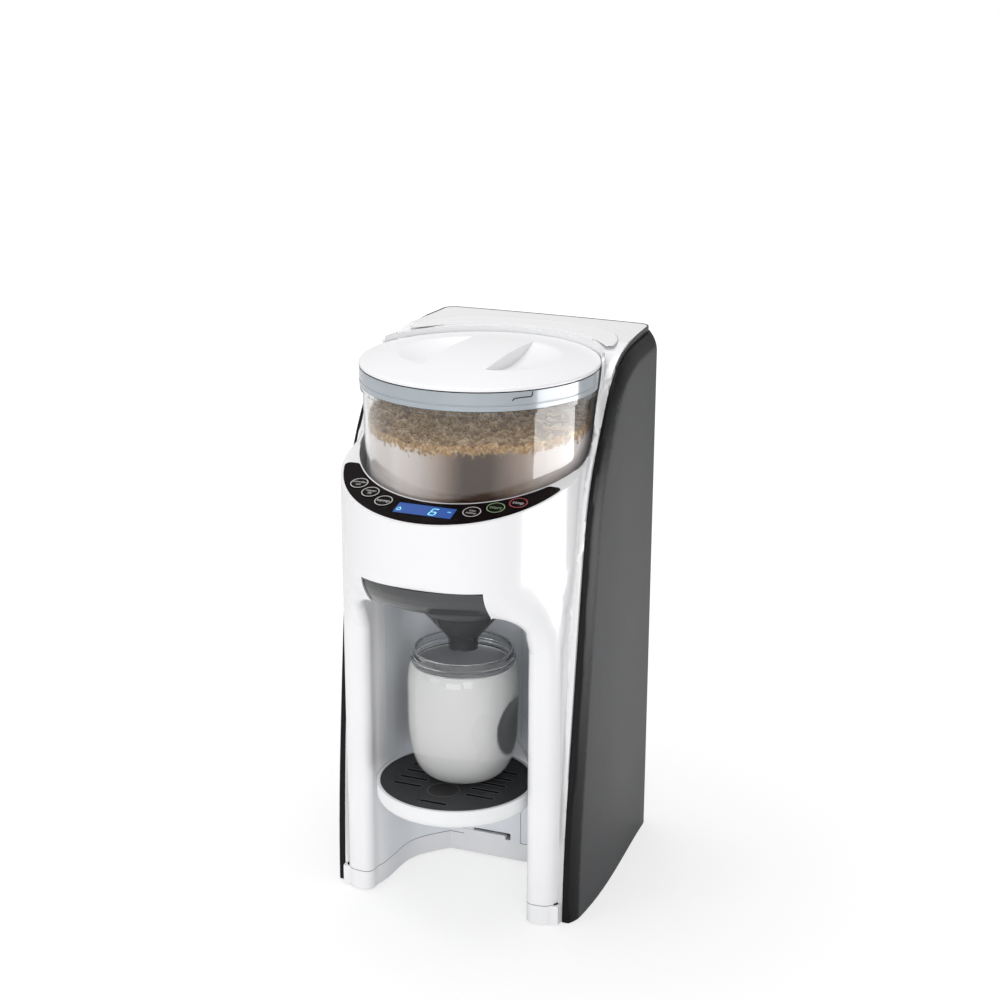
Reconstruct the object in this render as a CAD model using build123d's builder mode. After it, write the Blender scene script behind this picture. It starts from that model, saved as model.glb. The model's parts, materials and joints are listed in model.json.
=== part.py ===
"""Countertop baby formula maker: powder hopper, dosing drive, funnel, bottle bay, drip tray, water tank."""
from build123d import *
from math import acos, atan, cos, pi, radians, sin, sqrt
import os

os.makedirs("parts", exist_ok=True)

# Frame: origin under the middle of the body, +Z up, front faces -Y. All sizes in mm.

# ---- driving dimensions: body ----
front_reach = 113.0        # nose of the chin, forward of the origin
rear_reach = 113.0         # middle of the back, behind the origin
side_front_half = 82.8     # half width at the front edge of the side panels
side_widest_half = 86.2    # half width where the sides are widest
side_mid_half = 83.5
side_rear_half = 78.0      # half width at the back corners
rear_corner_radius = 14.0
rear_bulge = 1.5           # how far the back swells between its corners
panel_thickness = 6.5      # dark side panel, from its skin to the white core
edge_roll = 22.0           # radius that rolls the dark panel in towards the white core
rolled_depth = 4.0         # how far in the roll has come where the white begins
wall = 2.6                 # moulded wall of the white housing
dark_wall = 3.0
fit_gap = 0.2              # gap between two mouldings that lie against each other
seam_gap = 0.4             # open line between base and body
base_bottom = 1.0
base_height = 13.8
base_floor = 3.0
shell_bottom = 0.6
foot_radius = 6.5
foot_socket = 1.5
foot_x = 64.0
rear_foot_x = 58.0

# ---- driving dimensions: legs, chin and bay ----
chin_radius = 76.5
leg_half = 74.0            # outer side of the leg column
leg_radius = 10.0
leg_bow = 2.0              # how far the front swells between the legs
bay_corner_half = 31.0
bay_front_half = 54.2
bay_arch_radius = 16.0
bay_wall = 6.0
lip_radius = 6.0           # rounding of the bay's front edge
liner_wall = 2.6
white_lap = 1.0            # how far the white stands out past the dark panel's edge, at the floor
deck_lap = 4.0             # and at the deck
white_band = 8.0           # how far it runs back underneath
slot_half = 13.5
slot_height = 5.0
slot_pitch = 30.0
slot_count = 3
slot_plate_half = 20.5
slot_plate_proud = 0.8

# ---- driving dimensions: tray and bottle ----
tray_radius = 51.0
tray_rim = 2.1             # rim of the dish, outside the insert
tray_top = 85.3
tray_depth = 12.5
tray_floor = 2.0
tray_heel = 5.0
tray_ledge = 2.0           # step that carries the insert
fin_half = 28.0            # upright fin behind the dish, at its foot and its top
fin_top_half = 17.0
fin_rise = 9.0
fin_thickness = 3.0
hook_half = 12.0
hook_reach = 4.6
insert_thickness = 1.6
dimple_radius = 10.0
dimple_depth = 0.8
drain_x = 25.0
drain_pitch = 10.2
drain_rows = 5
drain_length = 20.0
drain_width = 3.0
milk_level = 64.0
bottle_height = 86.1
bottle_radius = 36.0
bottle_neck = 32.4
bottle_foot = 26.5         # flat the bottle stands on
bottle_heel = 22.0         # height of the rounded heel
bottle_shoulder = 59.0     # height where the side ends
bottle_collar = 74.0       # height where the neck begins
thread_depth = 1.2
thread_height = 2.2
thread_levels = [76.4, 81.4]
glass_wall = 2.0
stand_gap = 0.25           # the bottle above the insert, and its rim under the nozzle

# ---- driving dimensions: funnel and mixing head ----
visor_half = 39.8
visor_top_radius = 90.2
visor_low_radius = 74.6
visor_height = 17.9        # how far the visor stands above the bay ceiling's upper side
funnel_wall = 2.0
flange_lift = 0.3
visor_slot = 40.2          # half width of the notch the funnel slides in
flange_slot = 35.5         # half width of the gap in the bay ceiling
flange_thickness = 2.2
bowl_radius = 29.5
bowl_depth = 11.5          # straight part of the bowl, below the ceiling
cone_depth = 23.0
nozzle_length = 7.0
nozzle_radius = 9.6
mixer_lift = 0.4
mixer_plate = 3.0
mixer_side = 3.8
chute_radius = 10.0
chute_wall = 2.0
port_x = -19.0
port_wall = 1.6
port_height = 6.0
tube_radius = 4.0
tube_bore = 2.6
tube_bend = 8.0
feed_rise = 20.0
hot_rise = 35.0

# ---- driving dimensions: hopper ----
drive_room = 44.5          # from the bay's ceiling to the well's floor
well_radius = 75.7
well_wall = 1.4
well_gap = 0.3             # the container above the well's floor
container_radius = 73.0
container_foot = 71.4
container_wall = 2.2
container_plate = 2.7      # bottom plate, under the container's floor
container_depth = 78.3     # from its floor to the shoulder of the locking ring
hub_hole = 8.0
ring_shoulder = 2.3        # height of the shoulder that carries the locking ring
ring_radius = 75.0
ring_height = 11.7
ring_gap = 0.3
outlet_offset = 27.5       # powder outlet, bottle and nozzle stand this far in front of the hopper axis
outlet_radius = 9.0
spout_radius = 10.6
spout_length = 2.5
powder_front_drop = 26.3   # powder surface below the ring, at the front and at the rear
powder_rear_drop = 12.3
powder_sag = 1.0
powder_lift = 10.5         # powder above the container's floor, over the dosing wheel
scraper_lift = 7.8
scraper_half = 16.0
scraper_thickness = 2.0
lid_height = 8.6
lid_edge = 1.2
lid_wall = 2.4
dome_rise = 5.6
dome_margin = 4.0          # level rim outside the dome
recess_depth = 9.0
recess_radius = 117.0
recess_centre = 14.0
grip_half = 20.0
plug_depth = 6.0
plug_radius = 70.2
seal_drop = 4.0
seal_height = 2.5
seal_depth = 1.4
seal_squeeze = 0.3
deck_above_ring = 17.7     # flat top behind the hopper, above the ring's lower edge
wheel_radius = 62.0
wheel_lift = 3.2
wheel_thickness = 3.8
wheel_hub_wall = 3.0
pocket_radius = 7.0
pocket_count = 8
vane_count = 12
vane_length = 14.0
vane_width = 5.0
hub_radius = 7.92
hex_width = 8.0            # across flats of the drive coupler
hex_play = 0.2
coupler_lift = 4.0
nut_width = 13.0

# ---- driving dimensions: control panel ----
panel_slope = 0.254        # rise of the panel plane per mm towards the back
panel_drop = 81.2          # that plane below the deck, over the chin's nose
panel_inner = 76.6         # inner arc, about the hopper axis
panel_outer = 74.5         # outer arc, about the chin's centre
panel_corner = 3.0
panel_plate = 1.6
ledge = 1.4
button_radius = 5.9
button_travel = 0.6
button_gap = 0.25
button_rise = 0.4
button_flange = 0.6
button_stem = 1.8
button_setbacks = [(28.9, 20.8), (41.2, 28.3), (52.5, 36.3)]  # half spacing, and distance behind the nose
lcd_half = 19.0
lcd_setback = 11.0
lcd_depth = 11.4
lcd_rim = 1.5
board_depth = 6.0          # control board, below the panel's face
board_thickness = 1.6
board_half = 60.0
board_post_radius = 1.4

# ---- driving dimensions: water tank ----
tank_half = 61.0
tank_bottom = 46.0
tank_drop = 22.0           # top of the tank, below the deck
tank_wall = 2.4
tank_gap = 0.5
frame_thickness = 2.4
frame_half = 71.0
frame_drop = 13.0
frame_gap = 1.5            # clearance between the hopper's well and the frame
shelf_thickness = 2.7
tank_lid_inner = 81.0      # arcs of the tank lid, about the hopper axis
tank_lid_outer = 98.5
tank_lid_half = 52.0
tank_lid_rim = 2.0
tank_lid_skirt = 6.0
lid_seat = 1.2
mouth_half = 25.0
mouth_depth = 15.0
scoop_radius = 34.0
scoop_depth = 11.0
scoop_drop = 39.0
spigot_radius = 5.0
spigot_length = 14.0
valve_x = -28.0
valve_z = 60.0
valve_bore = 5.4
valve_wall = 3.6
valve_reach = 17.6

# ---- driving dimensions: screws ----
front_screw_x = 66.0
rear_screw_x = 62.0
screw_radius = 2.0
screw_head = 3.6
screw_head_height = 2.4
screw_seat = 5.0
screw_post = 4.0
screw_play = 0.05
screw_clearance = 0.3
post_top = 40.0
screw_top = 26.0

# ---- driving dimensions: drive ----
gear_module = 0.8
gear_teeth = 36
pinion_teeth = 12
gear_width = 5.5
gear_drop = 10.5           # underside of the gears, below the well's floor
gear_hub = 7.0
shaft_radius = 4.0
running_gap = 0.05
pinion_shaft_radius = 1.5
pinion_shaft_length = 8.0
motor_radius = 12.0
motor_length = 24.0
gear_plate_drop = 12.0
gear_plate_thickness = 3.0
pressure_angle = 20.0
gear_backlash = 0.3
plate_left = -24.0
plate_right = 34.0
plate_front_reach = 15.0   # gear plate in front of and behind the hopper axis
plate_rear_reach = 19.0
plate_post = 3.5

# ---- driving dimensions: rear fittings ----
pump_left = -45.0
pump_right = -11.0
pump_depth = 28.0
pump_top = 75.0
pump_corner = 4.0
heater_x = 22.0
heater_setback = 25.0      # heater's axis behind the bay
heater_radius = 18.0
heater_top = 150.0
heater_edge = 3.0
rim_width = 10.0
power_board_x = 53.0
power_board_length = 39.0
power_board_top = 92.0
inlet_x = 34.0
inlet_half = 14.0
inlet_low = 16.0
inlet_high = 40.0
inlet_depth = 21.8
inlet_recess = 3.2
socket_width = 21.0
socket_height = 12.0
socket_depth = 16.0
pin_length = 5.0
pin_spacing = 9.0
pin_radius = 1.2
switch_wall = 3.0
switch_depth = 13.0
rocker_half = 10.7
rocker_height = 6.8
rocker_setback = 5.0

# ---- places along Y ----
nose_y = -front_reach
hopper_y = nose_y + 102.0  # axis of hopper, stirrer and drive
chin_centre_y = nose_y + chin_radius
leg_centre_y = nose_y + 56.0
side_front_y = nose_y + 54.5
side_buried_y = side_front_y - 12.0
lip_depth_y = nose_y + 67.0    # the liner starts here, behind the housing's own lip
bay_back_y = nose_y + 124.0
panel_end_y = nose_y + 58.5
board_post_y = nose_y + 15.5
lcd_front_y = nose_y + lcd_setback
lcd_rear_y = lcd_front_y + lcd_depth
button_places = [(x, nose_y + setback) for x, setback in button_setbacks]
visor_axis_y = hopper_y - 10.0
rail_front_y = nose_y + 38.0
funnel_rear_y = hopper_y + 2.5
outlet_y = hopper_y - outlet_offset
tray_centre_y = outlet_y - 12.3
mixer_front_y = nose_y + 43.0
mixer_rear_y = nose_y + 88.0
frame_front_y = hopper_y + well_radius + well_wall + frame_gap
tank_front_y = frame_front_y + frame_thickness + tank_gap
shelf_rear_y = rear_reach - 9.0
pump_rear_y = frame_front_y - valve_reach
heater_y = bay_back_y + heater_setback
inlet_front_y = rear_reach - inlet_recess - inlet_depth
switch_y = rear_reach - rocker_setback
front_screw = (front_screw_x, nose_y + 75.0)
rear_screw = (rear_screw_x, frame_front_y - 4.1)
foot_places = [(side * foot_x, nose_y + 59.0) for side in (-1, 1)]
foot_places += [(side * rear_foot_x, rear_reach - 21.0) for side in (-1, 1)]
screw_places = [(side * x, y) for side in (-1, 1) for x, y in (front_screw, rear_screw)]
button_spots = [(-x, y) for x, y in reversed(button_places)] + button_places
motor_x = gear_module * (gear_teeth + pinion_teeth) / 2

# ---- heights, built up from the tray ----
body_bottom = base_height + seam_gap
floor_top = base_bottom + base_floor
dish_bottom = tray_top - tray_depth
slot_top_level = dish_bottom + 2.4
slot_levels = [slot_top_level - slot_pitch * step for step in reversed(range(slot_count))]
bottle_base = tray_top + stand_gap
nozzle_tip = bottle_base + bottle_height + 0.35
nozzle_top = nozzle_tip + nozzle_length
cone_top = nozzle_top + cone_depth
bay_height = cone_top + bowl_depth
ceiling_top = bay_height + wall
slot_plate_top = bay_height - 23.5
flare_start = bay_height - 27.5    # where the legs begin to flare into the chin
flare_end = bay_height + 26.5
flange_bottom = ceiling_top + flange_lift
flange_top = flange_bottom + flange_thickness
visor_top = ceiling_top + visor_height
plate_low = flange_top + mixer_lift
plate_high = plate_low + mixer_plate
tube_level = bay_height + 22.5
well_floor = bay_height + drive_room
gear_level = well_floor - gear_drop
gear_plate_top = well_floor - gear_plate_drop
motor_top = gear_plate_top - gear_plate_thickness
container_bottom = well_floor + well_gap
container_floor = container_bottom + container_plate
wheel_bottom = container_floor + wheel_lift
coupler_top = container_floor + coupler_lift
scraper_bottom = container_floor + scraper_lift
powder_bottom = container_floor + powder_lift
ring_bottom = container_floor + container_depth
powder_front = ring_bottom - powder_front_drop
powder_rear = ring_bottom - powder_rear_drop
lid_bottom = ring_bottom + ring_height
lid_crown = lid_bottom + lid_height
plug_bottom = lid_bottom - plug_depth
seal_bottom = lid_bottom - seal_drop
deck_height = ring_bottom + deck_above_ring
panel_level = deck_height - panel_drop + panel_slope * front_reach
tank_top = deck_height - tank_drop
scoop_height = tank_top - scoop_drop
frame_top = deck_height - frame_drop
core_inset = panel_thickness + fit_gap
roll_grow = edge_roll * (1 - sin(acos(1 - rolled_depth / edge_roll)))
far = 400.0


def save(piece, label):
    """Label a finished piece and write it to its own file."""
    piece.label = label
    export_step(piece, "parts/" + label + ".step")


def extruded(sketch, height):
    """A plain prism on a sketch's own plane."""
    with BuildPart() as prism:
        add(sketch)
        extrude(amount=height)
    return prism.part


# ---------------------------------------------------------------- outlines

def body_outline(level, inset):
    """Plan of the whole body: bulging sides, rounded back corners, flat buried front."""
    front = side_buried_y + inset
    rear = rear_reach - inset
    corner_y = rear_reach - rear_bulge - inset
    with BuildSketch(Plane.XY.offset(level)) as outline:
        with BuildLine():
            side = Spline(
                (side_front_half - inset, front),
                (side_widest_half - inset, -18),
                (side_mid_half - inset, 34),
                (side_rear_half - inset, corner_y),
            )
            back = ThreePointArc(side @ 1, (0, rear), (-(side_rear_half - inset), corner_y))
            mirror(side, about=Plane.YZ)
            Line(side @ 0, (-(side_front_half - inset), front))
        make_face()
        corners = outline.vertices().group_by(Axis.Y)[-1]
        fillet(corners, radius=rear_corner_radius - inset)
    return outline.sketch


def blend(start, end, share):
    return start + (end - start) * share


def side_curve_points():
    """The edge between white and dark, seen from the side, as (y, z)."""
    return [
        (side_front_y, 0),
        (side_front_y + 10.5, deck_height - 219),
        (side_front_y + 22.5, deck_height - 119),
        (side_front_y + 34.5, deck_height - 67),
        (side_front_y + 52.2, deck_height - 36.5),
        (side_front_y + 70.0, deck_height - 16),
        (side_front_y + 92.5, deck_height - 6.5),
        (side_front_y + 124.0, deck_height - 3.5),
    ]


def shifted(points, first, last):
    """Move each point of a side view curve to its left, by a distance that changes along it."""
    moved = []
    for index, (y, z) in enumerate(points):
        distance = blend(first, last, index / (len(points) - 1))
        before = points[max(index - 1, 0)]
        after = points[min(index + 1, len(points) - 1)]
        run = sqrt((after[0] - before[0]) ** 2 + (after[1] - before[1]) ** 2)
        moved.append((
            y - distance * (after[1] - before[1]) / run,
            z + distance * (after[0] - before[0]) / run,
        ))
    return moved


def side_region(low_grow, top_grow):
    """Everything behind and below the white edge, grown or shrunk by two distances."""
    points = shifted(side_curve_points(), low_grow, top_grow)
    start, end = points[0], points[-1]
    with BuildPart() as solid:
        with BuildSketch(Plane.YZ.offset(-far / 2)):
            with BuildLine():
                edge = Spline(*points, tangents=[(0, 1), (1, 0)])
                top = Line(edge @ 1, (far, end[1]))
                back = Line(top @ 1, (far, -60))
                low = Line(back @ 1, (start[0], -60))
                Line(low @ 1, edge @ 0)
            make_face()
        extrude(amount=far)
    return solid.part


def top_region(drop):
    """Everything under the top profile: sloping panel, rise beside the hopper, flat deck."""
    front_y = nose_y - 20
    panel_back = nose_y + 79
    points = shifted(
        [
            (front_y, panel_level + panel_slope * front_y),
            (panel_back, panel_level + panel_slope * panel_back),
            (hopper_y - 7.5, deck_height - 53.5),
            (hopper_y + 0.2, deck_height - 37),
            (hopper_y + 9, deck_height - 18.5),
            (hopper_y + 18, deck_height - 6),
            (hopper_y + 31, deck_height),
            (far, deck_height),
        ],
        -drop,
        -drop,
    )
    with BuildPart() as solid:
        with BuildSketch(Plane.YZ.offset(-far / 2)):
            with BuildLine():
                slope = Line(points[0], points[1])
                rise = Spline(*points[1:-1], tangents=[(1, panel_slope), (1, 0)])
                deck = Line(rise @ 1, (far, points[-2][1]))
                back = Line(deck @ 1, (far, -60))
                low = Line(back @ 1, (points[0][0], -60))
                Line(low @ 1, slope @ 0)
            make_face()
        extrude(amount=far)
    return solid.part


def front_outline(level, inset):
    """Plan of the front moulding at one height: round leg columns below, a round chin above."""
    share = min(max((level - flare_start) / (flare_end - flare_start), 0), 1)
    share = share * share * (3 - 2 * share)
    half = blend(leg_half, chin_radius, share) - inset
    side_y = blend(leg_centre_y, chin_centre_y, share)
    angle = pi / 2 - 2 * atan(leg_bow / (leg_half - leg_radius))
    radius = blend(leg_radius, chin_radius, share) - inset
    centre_x = half - radius
    corner_x = centre_x + radius * cos(angle)
    corner_y = side_y - radius * sin(angle)
    mid_x = centre_x + radius * cos(angle / 2)
    mid_y = side_y - radius * sin(angle / 2)
    front_y = blend(leg_centre_y - leg_radius - leg_bow, nose_y, share) + inset
    back_y = bay_back_y + 19
    with BuildSketch(Plane.XY.offset(level)) as outline:
        with BuildLine():
            right = Line((half, back_y), (half, side_y))
            corner = ThreePointArc(right @ 1, (mid_x, mid_y), (corner_x, corner_y))
            ThreePointArc(corner @ 1, (0, front_y), (-corner_x, corner_y))
            mirror(corner, about=Plane.YZ)
            mirror(right, about=Plane.YZ)
            Line((-half, back_y), (half, back_y))
        make_face()
    return outline.sketch


def front_moulding(inset, bottom):
    """Legs and chin as one solid: straight below and above, lofted where the legs flare."""
    steps = 3
    flare = [blend(flare_start, flare_end, step / steps) for step in range(steps + 1)]
    with BuildPart() as middle:
        for level in flare:
            add(front_outline(level, inset))
        loft()
    with BuildPart() as solid:
        add(middle.part)
        add(front_outline(bottom, inset))
        extrude(amount=flare_start - bottom)
        add(front_outline(flare_end, inset))
        extrude(amount=ring_bottom - flare_end)
    return solid.part


def bay_plan(level, grow):
    """Plan of the bottle bay: flat back, soft S-shaped sides, straight mouth."""
    with BuildSketch(Plane.XY.offset(level)) as outline:
        with BuildLine():
            side = Spline(
                (bay_corner_half + grow * 0.7, bay_back_y + grow),
                (bay_corner_half + 10 + grow * 0.8, bay_back_y - 10.5 + grow * 0.6),
                (bay_front_half - 5.7 + grow, bay_back_y - 22),
                (bay_front_half - 2.6 + grow, bay_back_y - 45),
                (bay_front_half + grow, leg_centre_y),
            )
            mouth = Line(side @ 1, (bay_front_half + grow, nose_y - 30))
            mirror(side, about=Plane.YZ)
            mirror(mouth, about=Plane.YZ)
            Line(mouth @ 1, (-(bay_front_half + grow), nose_y - 30))
            Line(side @ 0, (-(bay_corner_half + grow * 0.7), bay_back_y + grow))
        make_face()
    return outline.sketch


def bay_space(grow, top):
    """The bay as a solid: its plan carried up, with an arched top seen from the front."""
    half = bay_front_half + grow + 0.8
    with BuildPart() as space:
        add(bay_plan(-20, grow))
        extrude(amount=top + 20)
        with BuildSketch(Plane.XZ.offset(-far / 2)) as arch:
            with Locations((0, top / 2 - 20)):
                Rectangle(2 * half, top + 40)
            fillet(arch.vertices().group_by(Axis.Y)[-1], radius=bay_arch_radius + grow)
        extrude(amount=far, mode=Mode.INTERSECT)
    return space.part


def box(x_low, x_high, y_low, y_high, z_low, z_high):
    """A block given by its limits."""
    with BuildPart() as block:
        with Locations(((x_low + x_high) / 2, (y_low + y_high) / 2, (z_low + z_high) / 2)):
            Box(x_high - x_low, y_high - y_low, z_high - z_low)
    return block.part


def post(x, y, z_low, z_high, radius):
    """An upright cylinder given by its axis and its two heights."""
    with BuildPart() as cylinder:
        with BuildSketch(Plane.XY.offset(z_low)):
            with Locations((x, y)):
                Circle(radius)
        extrude(amount=z_high - z_low)
    return cylinder.part


def cone(x, y, z_low, z_high, radius_low, radius_high):
    """An upright cone stump given by its axis, its two heights and its two radii."""
    with BuildPart() as stump:
        with Locations((x, y, (z_low + z_high) / 2)):
            Cone(radius_low, radius_high, z_high - z_low)
    return stump.part


panel_face = Plane(origin=(0, 0, panel_level), x_dir=(1, 0, 0), z_dir=(0, -panel_slope, 1))


def panel_slab(top, bottom):
    """The space between two depths under the panel's sloping face."""
    with BuildPart() as slab:
        with BuildSketch(panel_face.offset(-top)):
            Rectangle(far, far)
        extrude(amount=top - bottom)
    return slab.part


def crescent(shrink, inner_shrink, corner):
    """Upright prism on the control panel's crescent outline, shrunk at its two arcs."""
    with BuildPart() as prism:
        with BuildSketch(Plane.XY.offset(well_floor)) as outline:
            with Locations((0, chin_centre_y)):
                Circle(panel_outer - shrink)
            with Locations((0, hopper_y)):
                Circle(panel_inner + inner_shrink, mode=Mode.SUBTRACT)
            with Locations((0, panel_end_y - shrink + far / 2)):
                Rectangle(far, far, mode=Mode.SUBTRACT)
            fillet(outline.vertices(), radius=corner)
        extrude(amount=ring_bottom - well_floor)
    return prism.part


def panel_post(x, y, top, bottom, radius):
    """A cylinder square to the panel's face, between two depths under it."""
    start = panel_face.to_local_coords(Vector(x, y, panel_level + panel_slope * y))
    with BuildPart() as cylinder:
        with BuildSketch(panel_face.offset(-top)):
            with Locations((start.X, start.Y)):
                Circle(radius)
        extrude(amount=top - bottom)
    return cylinder.part


def tube(points):
    """A bent tube along a path of straight runs."""
    with BuildPart() as pipe:
        with BuildLine() as path:
            FilletPolyline(*points, radius=tube_bend)
        with BuildSketch(Plane(origin=path.line @ 0, z_dir=path.line % 0)):
            Circle(tube_radius)
            Circle(tube_bore, mode=Mode.SUBTRACT)
        sweep()
    return pipe.part


# ---------------------------------------------------------------- cutting and filling volumes

core_solid = extruded(body_outline(body_bottom, core_inset), deck_height)
core_hollow = extruded(body_outline(body_bottom - 5, core_inset + wall), deck_height)
region_edge = side_region(white_lap, deck_lap)
region_back = side_region(-white_band, -white_band)
region_inner = side_region(white_lap - wall, deck_lap - wall)
front_hollow = front_moulding(wall, body_bottom - 5)
under_top = top_region(0)
under_skin = top_region(wall)
bay_cut = bay_space(0, bay_height)
bay_pocket = bay_space(liner_wall + fit_gap, ceiling_top + fit_gap)
bay_keep = bay_space(bay_wall, ceiling_top)
behind_lip = box(-far, far, lip_depth_y, far, -far, far)
well_cut = post(0, hopper_y, well_floor, far, well_radius)
well_keep = post(0, hopper_y, well_floor - wall, far, well_radius + well_wall)
panel_cut = crescent(-fit_gap, -fit_gap, panel_corner)
panel_depth = panel_slab(-20, panel_plate)
panel_window = crescent(ledge, well_radius + well_wall - panel_inner, panel_corner - ledge)
slots = [box(-slot_half, slot_half, bay_back_y - 5, bay_back_y + bay_wall + 5, z, z + slot_height) for z in slot_levels]
leg_posts = []
leg_ribs = []
leg_holes = []
for side in (-1, 1):
    x = side * front_screw_x
    y = front_screw[1]
    inner = side * (front_screw_x - 11)
    leg_posts.append(post(x, y, body_bottom, post_top, screw_post))
    leg_ribs.append(box(min(x, inner), max(x, inner), y - 1, y + 1, body_bottom, post_top))
    leg_holes.append(post(x, y, 0, screw_top + 1, screw_radius + screw_play))


def crescent_lid(inset, z_low, z_high):
    """A curved slab behind the hopper: the tank lid and its seat are cut with it."""
    with BuildPart() as slab:
        with BuildSketch(Plane.XY.offset(z_low)):
            with Locations((0, hopper_y)):
                Circle(tank_lid_outer - inset)
                Circle(tank_lid_inner + inset, mode=Mode.SUBTRACT)
            with Locations((0, far / 2)):
                Rectangle(2 * (tank_lid_half - inset), far, mode=Mode.INTERSECT)
        extrude(amount=z_high - z_low)
    return slab.part


lid_pocket = crescent_lid(0, deck_height - lid_seat, deck_height + 5)
lid_mouth = crescent_lid(tank_lid_rim, tank_top, deck_height + 5)


def both(first, second):
    """What two volumes have in common."""
    with BuildPart() as shared:
        add(first)
        add(second, mode=Mode.INTERSECT)
    return shared.part


def cut_away(first, second):
    """A volume with another taken out of it."""
    with BuildPart() as rest:
        add(first)
        add(second, mode=Mode.SUBTRACT)
    return rest.part


rear_pocket = both(bay_pocket, behind_lip)
panel_pocket = both(panel_cut, panel_depth)
panel_opening = both(panel_window, panel_slab(0, 30))
notch = box(-visor_slot, visor_slot, -far, rail_front_y, bay_height - 1, visor_top + 0.3)
funnel_gap = box(-flange_slot, flange_slot, -far, funnel_rear_y, bay_height - 1, ceiling_top + 1)
outlet_hole = post(0, outlet_y, well_floor - 10, well_floor + 1, spout_radius + fit_gap * 2)
bush_hole = post(0, hopper_y, well_floor - 10, well_floor + 1, shaft_radius + running_gap)

# ---------------------------------------------------------------- white housing


def on_bay_lip(edge):
    """True for the edges where the bay opens through the front of the legs and chin."""
    ahead = edge.bounding_box().max.Y < leg_centre_y - leg_radius / 2
    return ahead and bay_cut.distance_to(edge @ 0.5) < 0.01


with BuildPart() as front_room:
    add(front_hollow)
    add(under_skin, mode=Mode.INTERSECT)
    add(well_keep, mode=Mode.SUBTRACT)
    add(bay_keep, mode=Mode.SUBTRACT)

with BuildPart() as core_room:
    add(core_hollow)
    add(region_inner, mode=Mode.INTERSECT)
    add(region_back)
    add(under_skin, mode=Mode.INTERSECT)
    add(well_keep, mode=Mode.SUBTRACT)
    add(bay_keep, mode=Mode.SUBTRACT)

with BuildPart() as front_shell:
    add(front_moulding(0, body_bottom))
    add(bay_cut, mode=Mode.SUBTRACT)
    add(front_room.part, mode=Mode.SUBTRACT)
    fillet(front_shell.edges().filter_by(on_bay_lip), radius=lip_radius)
    add(core_room.part, mode=Mode.SUBTRACT)
    add(rear_pocket, mode=Mode.SUBTRACT)
    add(under_top, mode=Mode.INTERSECT)
    add(well_cut, mode=Mode.SUBTRACT)

with BuildPart() as housing:
    add(core_solid)
    add(region_edge, mode=Mode.INTERSECT)
    add(region_back, mode=Mode.SUBTRACT)
    add(core_room.part, mode=Mode.SUBTRACT)
    add(front_room.part, mode=Mode.SUBTRACT)
    add(bay_cut, mode=Mode.SUBTRACT)
    add(rear_pocket, mode=Mode.SUBTRACT)
    add(well_keep)
    add(under_top, mode=Mode.INTERSECT)
    add(well_cut, mode=Mode.SUBTRACT)
    add(front_shell.part)
    add(panel_pocket, mode=Mode.SUBTRACT)
    add(panel_opening, mode=Mode.SUBTRACT)
    add(lid_pocket, mode=Mode.SUBTRACT)
    add(lid_mouth, mode=Mode.SUBTRACT)
    add(notch, mode=Mode.SUBTRACT)
    add(funnel_gap, mode=Mode.SUBTRACT)
    add(slots, mode=Mode.SUBTRACT)
    add(leg_ribs)
    add(leg_posts)
    add(leg_holes, mode=Mode.SUBTRACT)
    add(outlet_hole, mode=Mode.SUBTRACT)
    add(bush_hole, mode=Mode.SUBTRACT)
save(housing.part, "front_housing")

plate_space_half = slot_plate_half + fit_gap
plate_space = box(-plate_space_half, plate_space_half, 0, far, 0, slot_plate_top + fit_gap)
with BuildPart() as liner:
    add(bay_space(liner_wall, ceiling_top))
    add(box(-far, far, lip_depth_y + fit_gap, far, body_bottom, far), mode=Mode.INTERSECT)
    add(bay_cut, mode=Mode.SUBTRACT)
    add(funnel_gap, mode=Mode.SUBTRACT)
    add(plate_space, mode=Mode.SUBTRACT)
save(liner.part, "bay_liner")

with BuildPart() as slot_plate:
    plate_face = bay_back_y - slot_plate_proud
    add(box(-slot_plate_half, slot_plate_half, plate_face, bay_back_y + liner_wall, body_bottom, slot_plate_top))
    add(slots, mode=Mode.SUBTRACT)
save(slot_plate.part, "slot_plate")

# ---------------------------------------------------------------- dark rear shell

shell_core = extruded(body_outline(shell_bottom - 1, panel_thickness), deck_height + 10)
shell_hollow = extruded(body_outline(shell_bottom + 6, dark_wall), deck_height)
shell_front = side_region(0, 0)
shell_rim = side_region(-rim_width, -rim_width)
rear_window = box(-tank_half - 1, tank_half + 1, pump_rear_y, far, tank_bottom - 0.3, tank_top + 1)


def on_shell_rim(edge):
    """True for the curved edges where the shell's skin meets its front and top."""
    middle = edge.center()
    curved = edge.geom_type != GeomType.LINE and middle.Z > shell_bottom + 5
    return curved and (abs(middle.X) > tank_lid_half or middle.Y > shelf_rear_y)


with BuildPart() as shell:
    add(extruded(body_outline(shell_bottom, 0), deck_height + edge_roll))
    add(side_region(roll_grow, roll_grow), mode=Mode.INTERSECT)
    fillet(shell.edges().filter_by(on_shell_rim), radius=edge_roll)
    add(shell_front, mode=Mode.INTERSECT)
    add(shell_core, mode=Mode.SUBTRACT)
    add(both(shell_hollow, shell_rim), mode=Mode.SUBTRACT)
    add(rear_window, mode=Mode.SUBTRACT)
    for x in (-inlet_x, inlet_x):
        half = inlet_half + fit_gap
        window = box(x - half, x + half, pump_rear_y, far, inlet_low - fit_gap, inlet_high + fit_gap)
        add(window, mode=Mode.SUBTRACT)
save(shell.part, "rear_shell")

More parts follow.
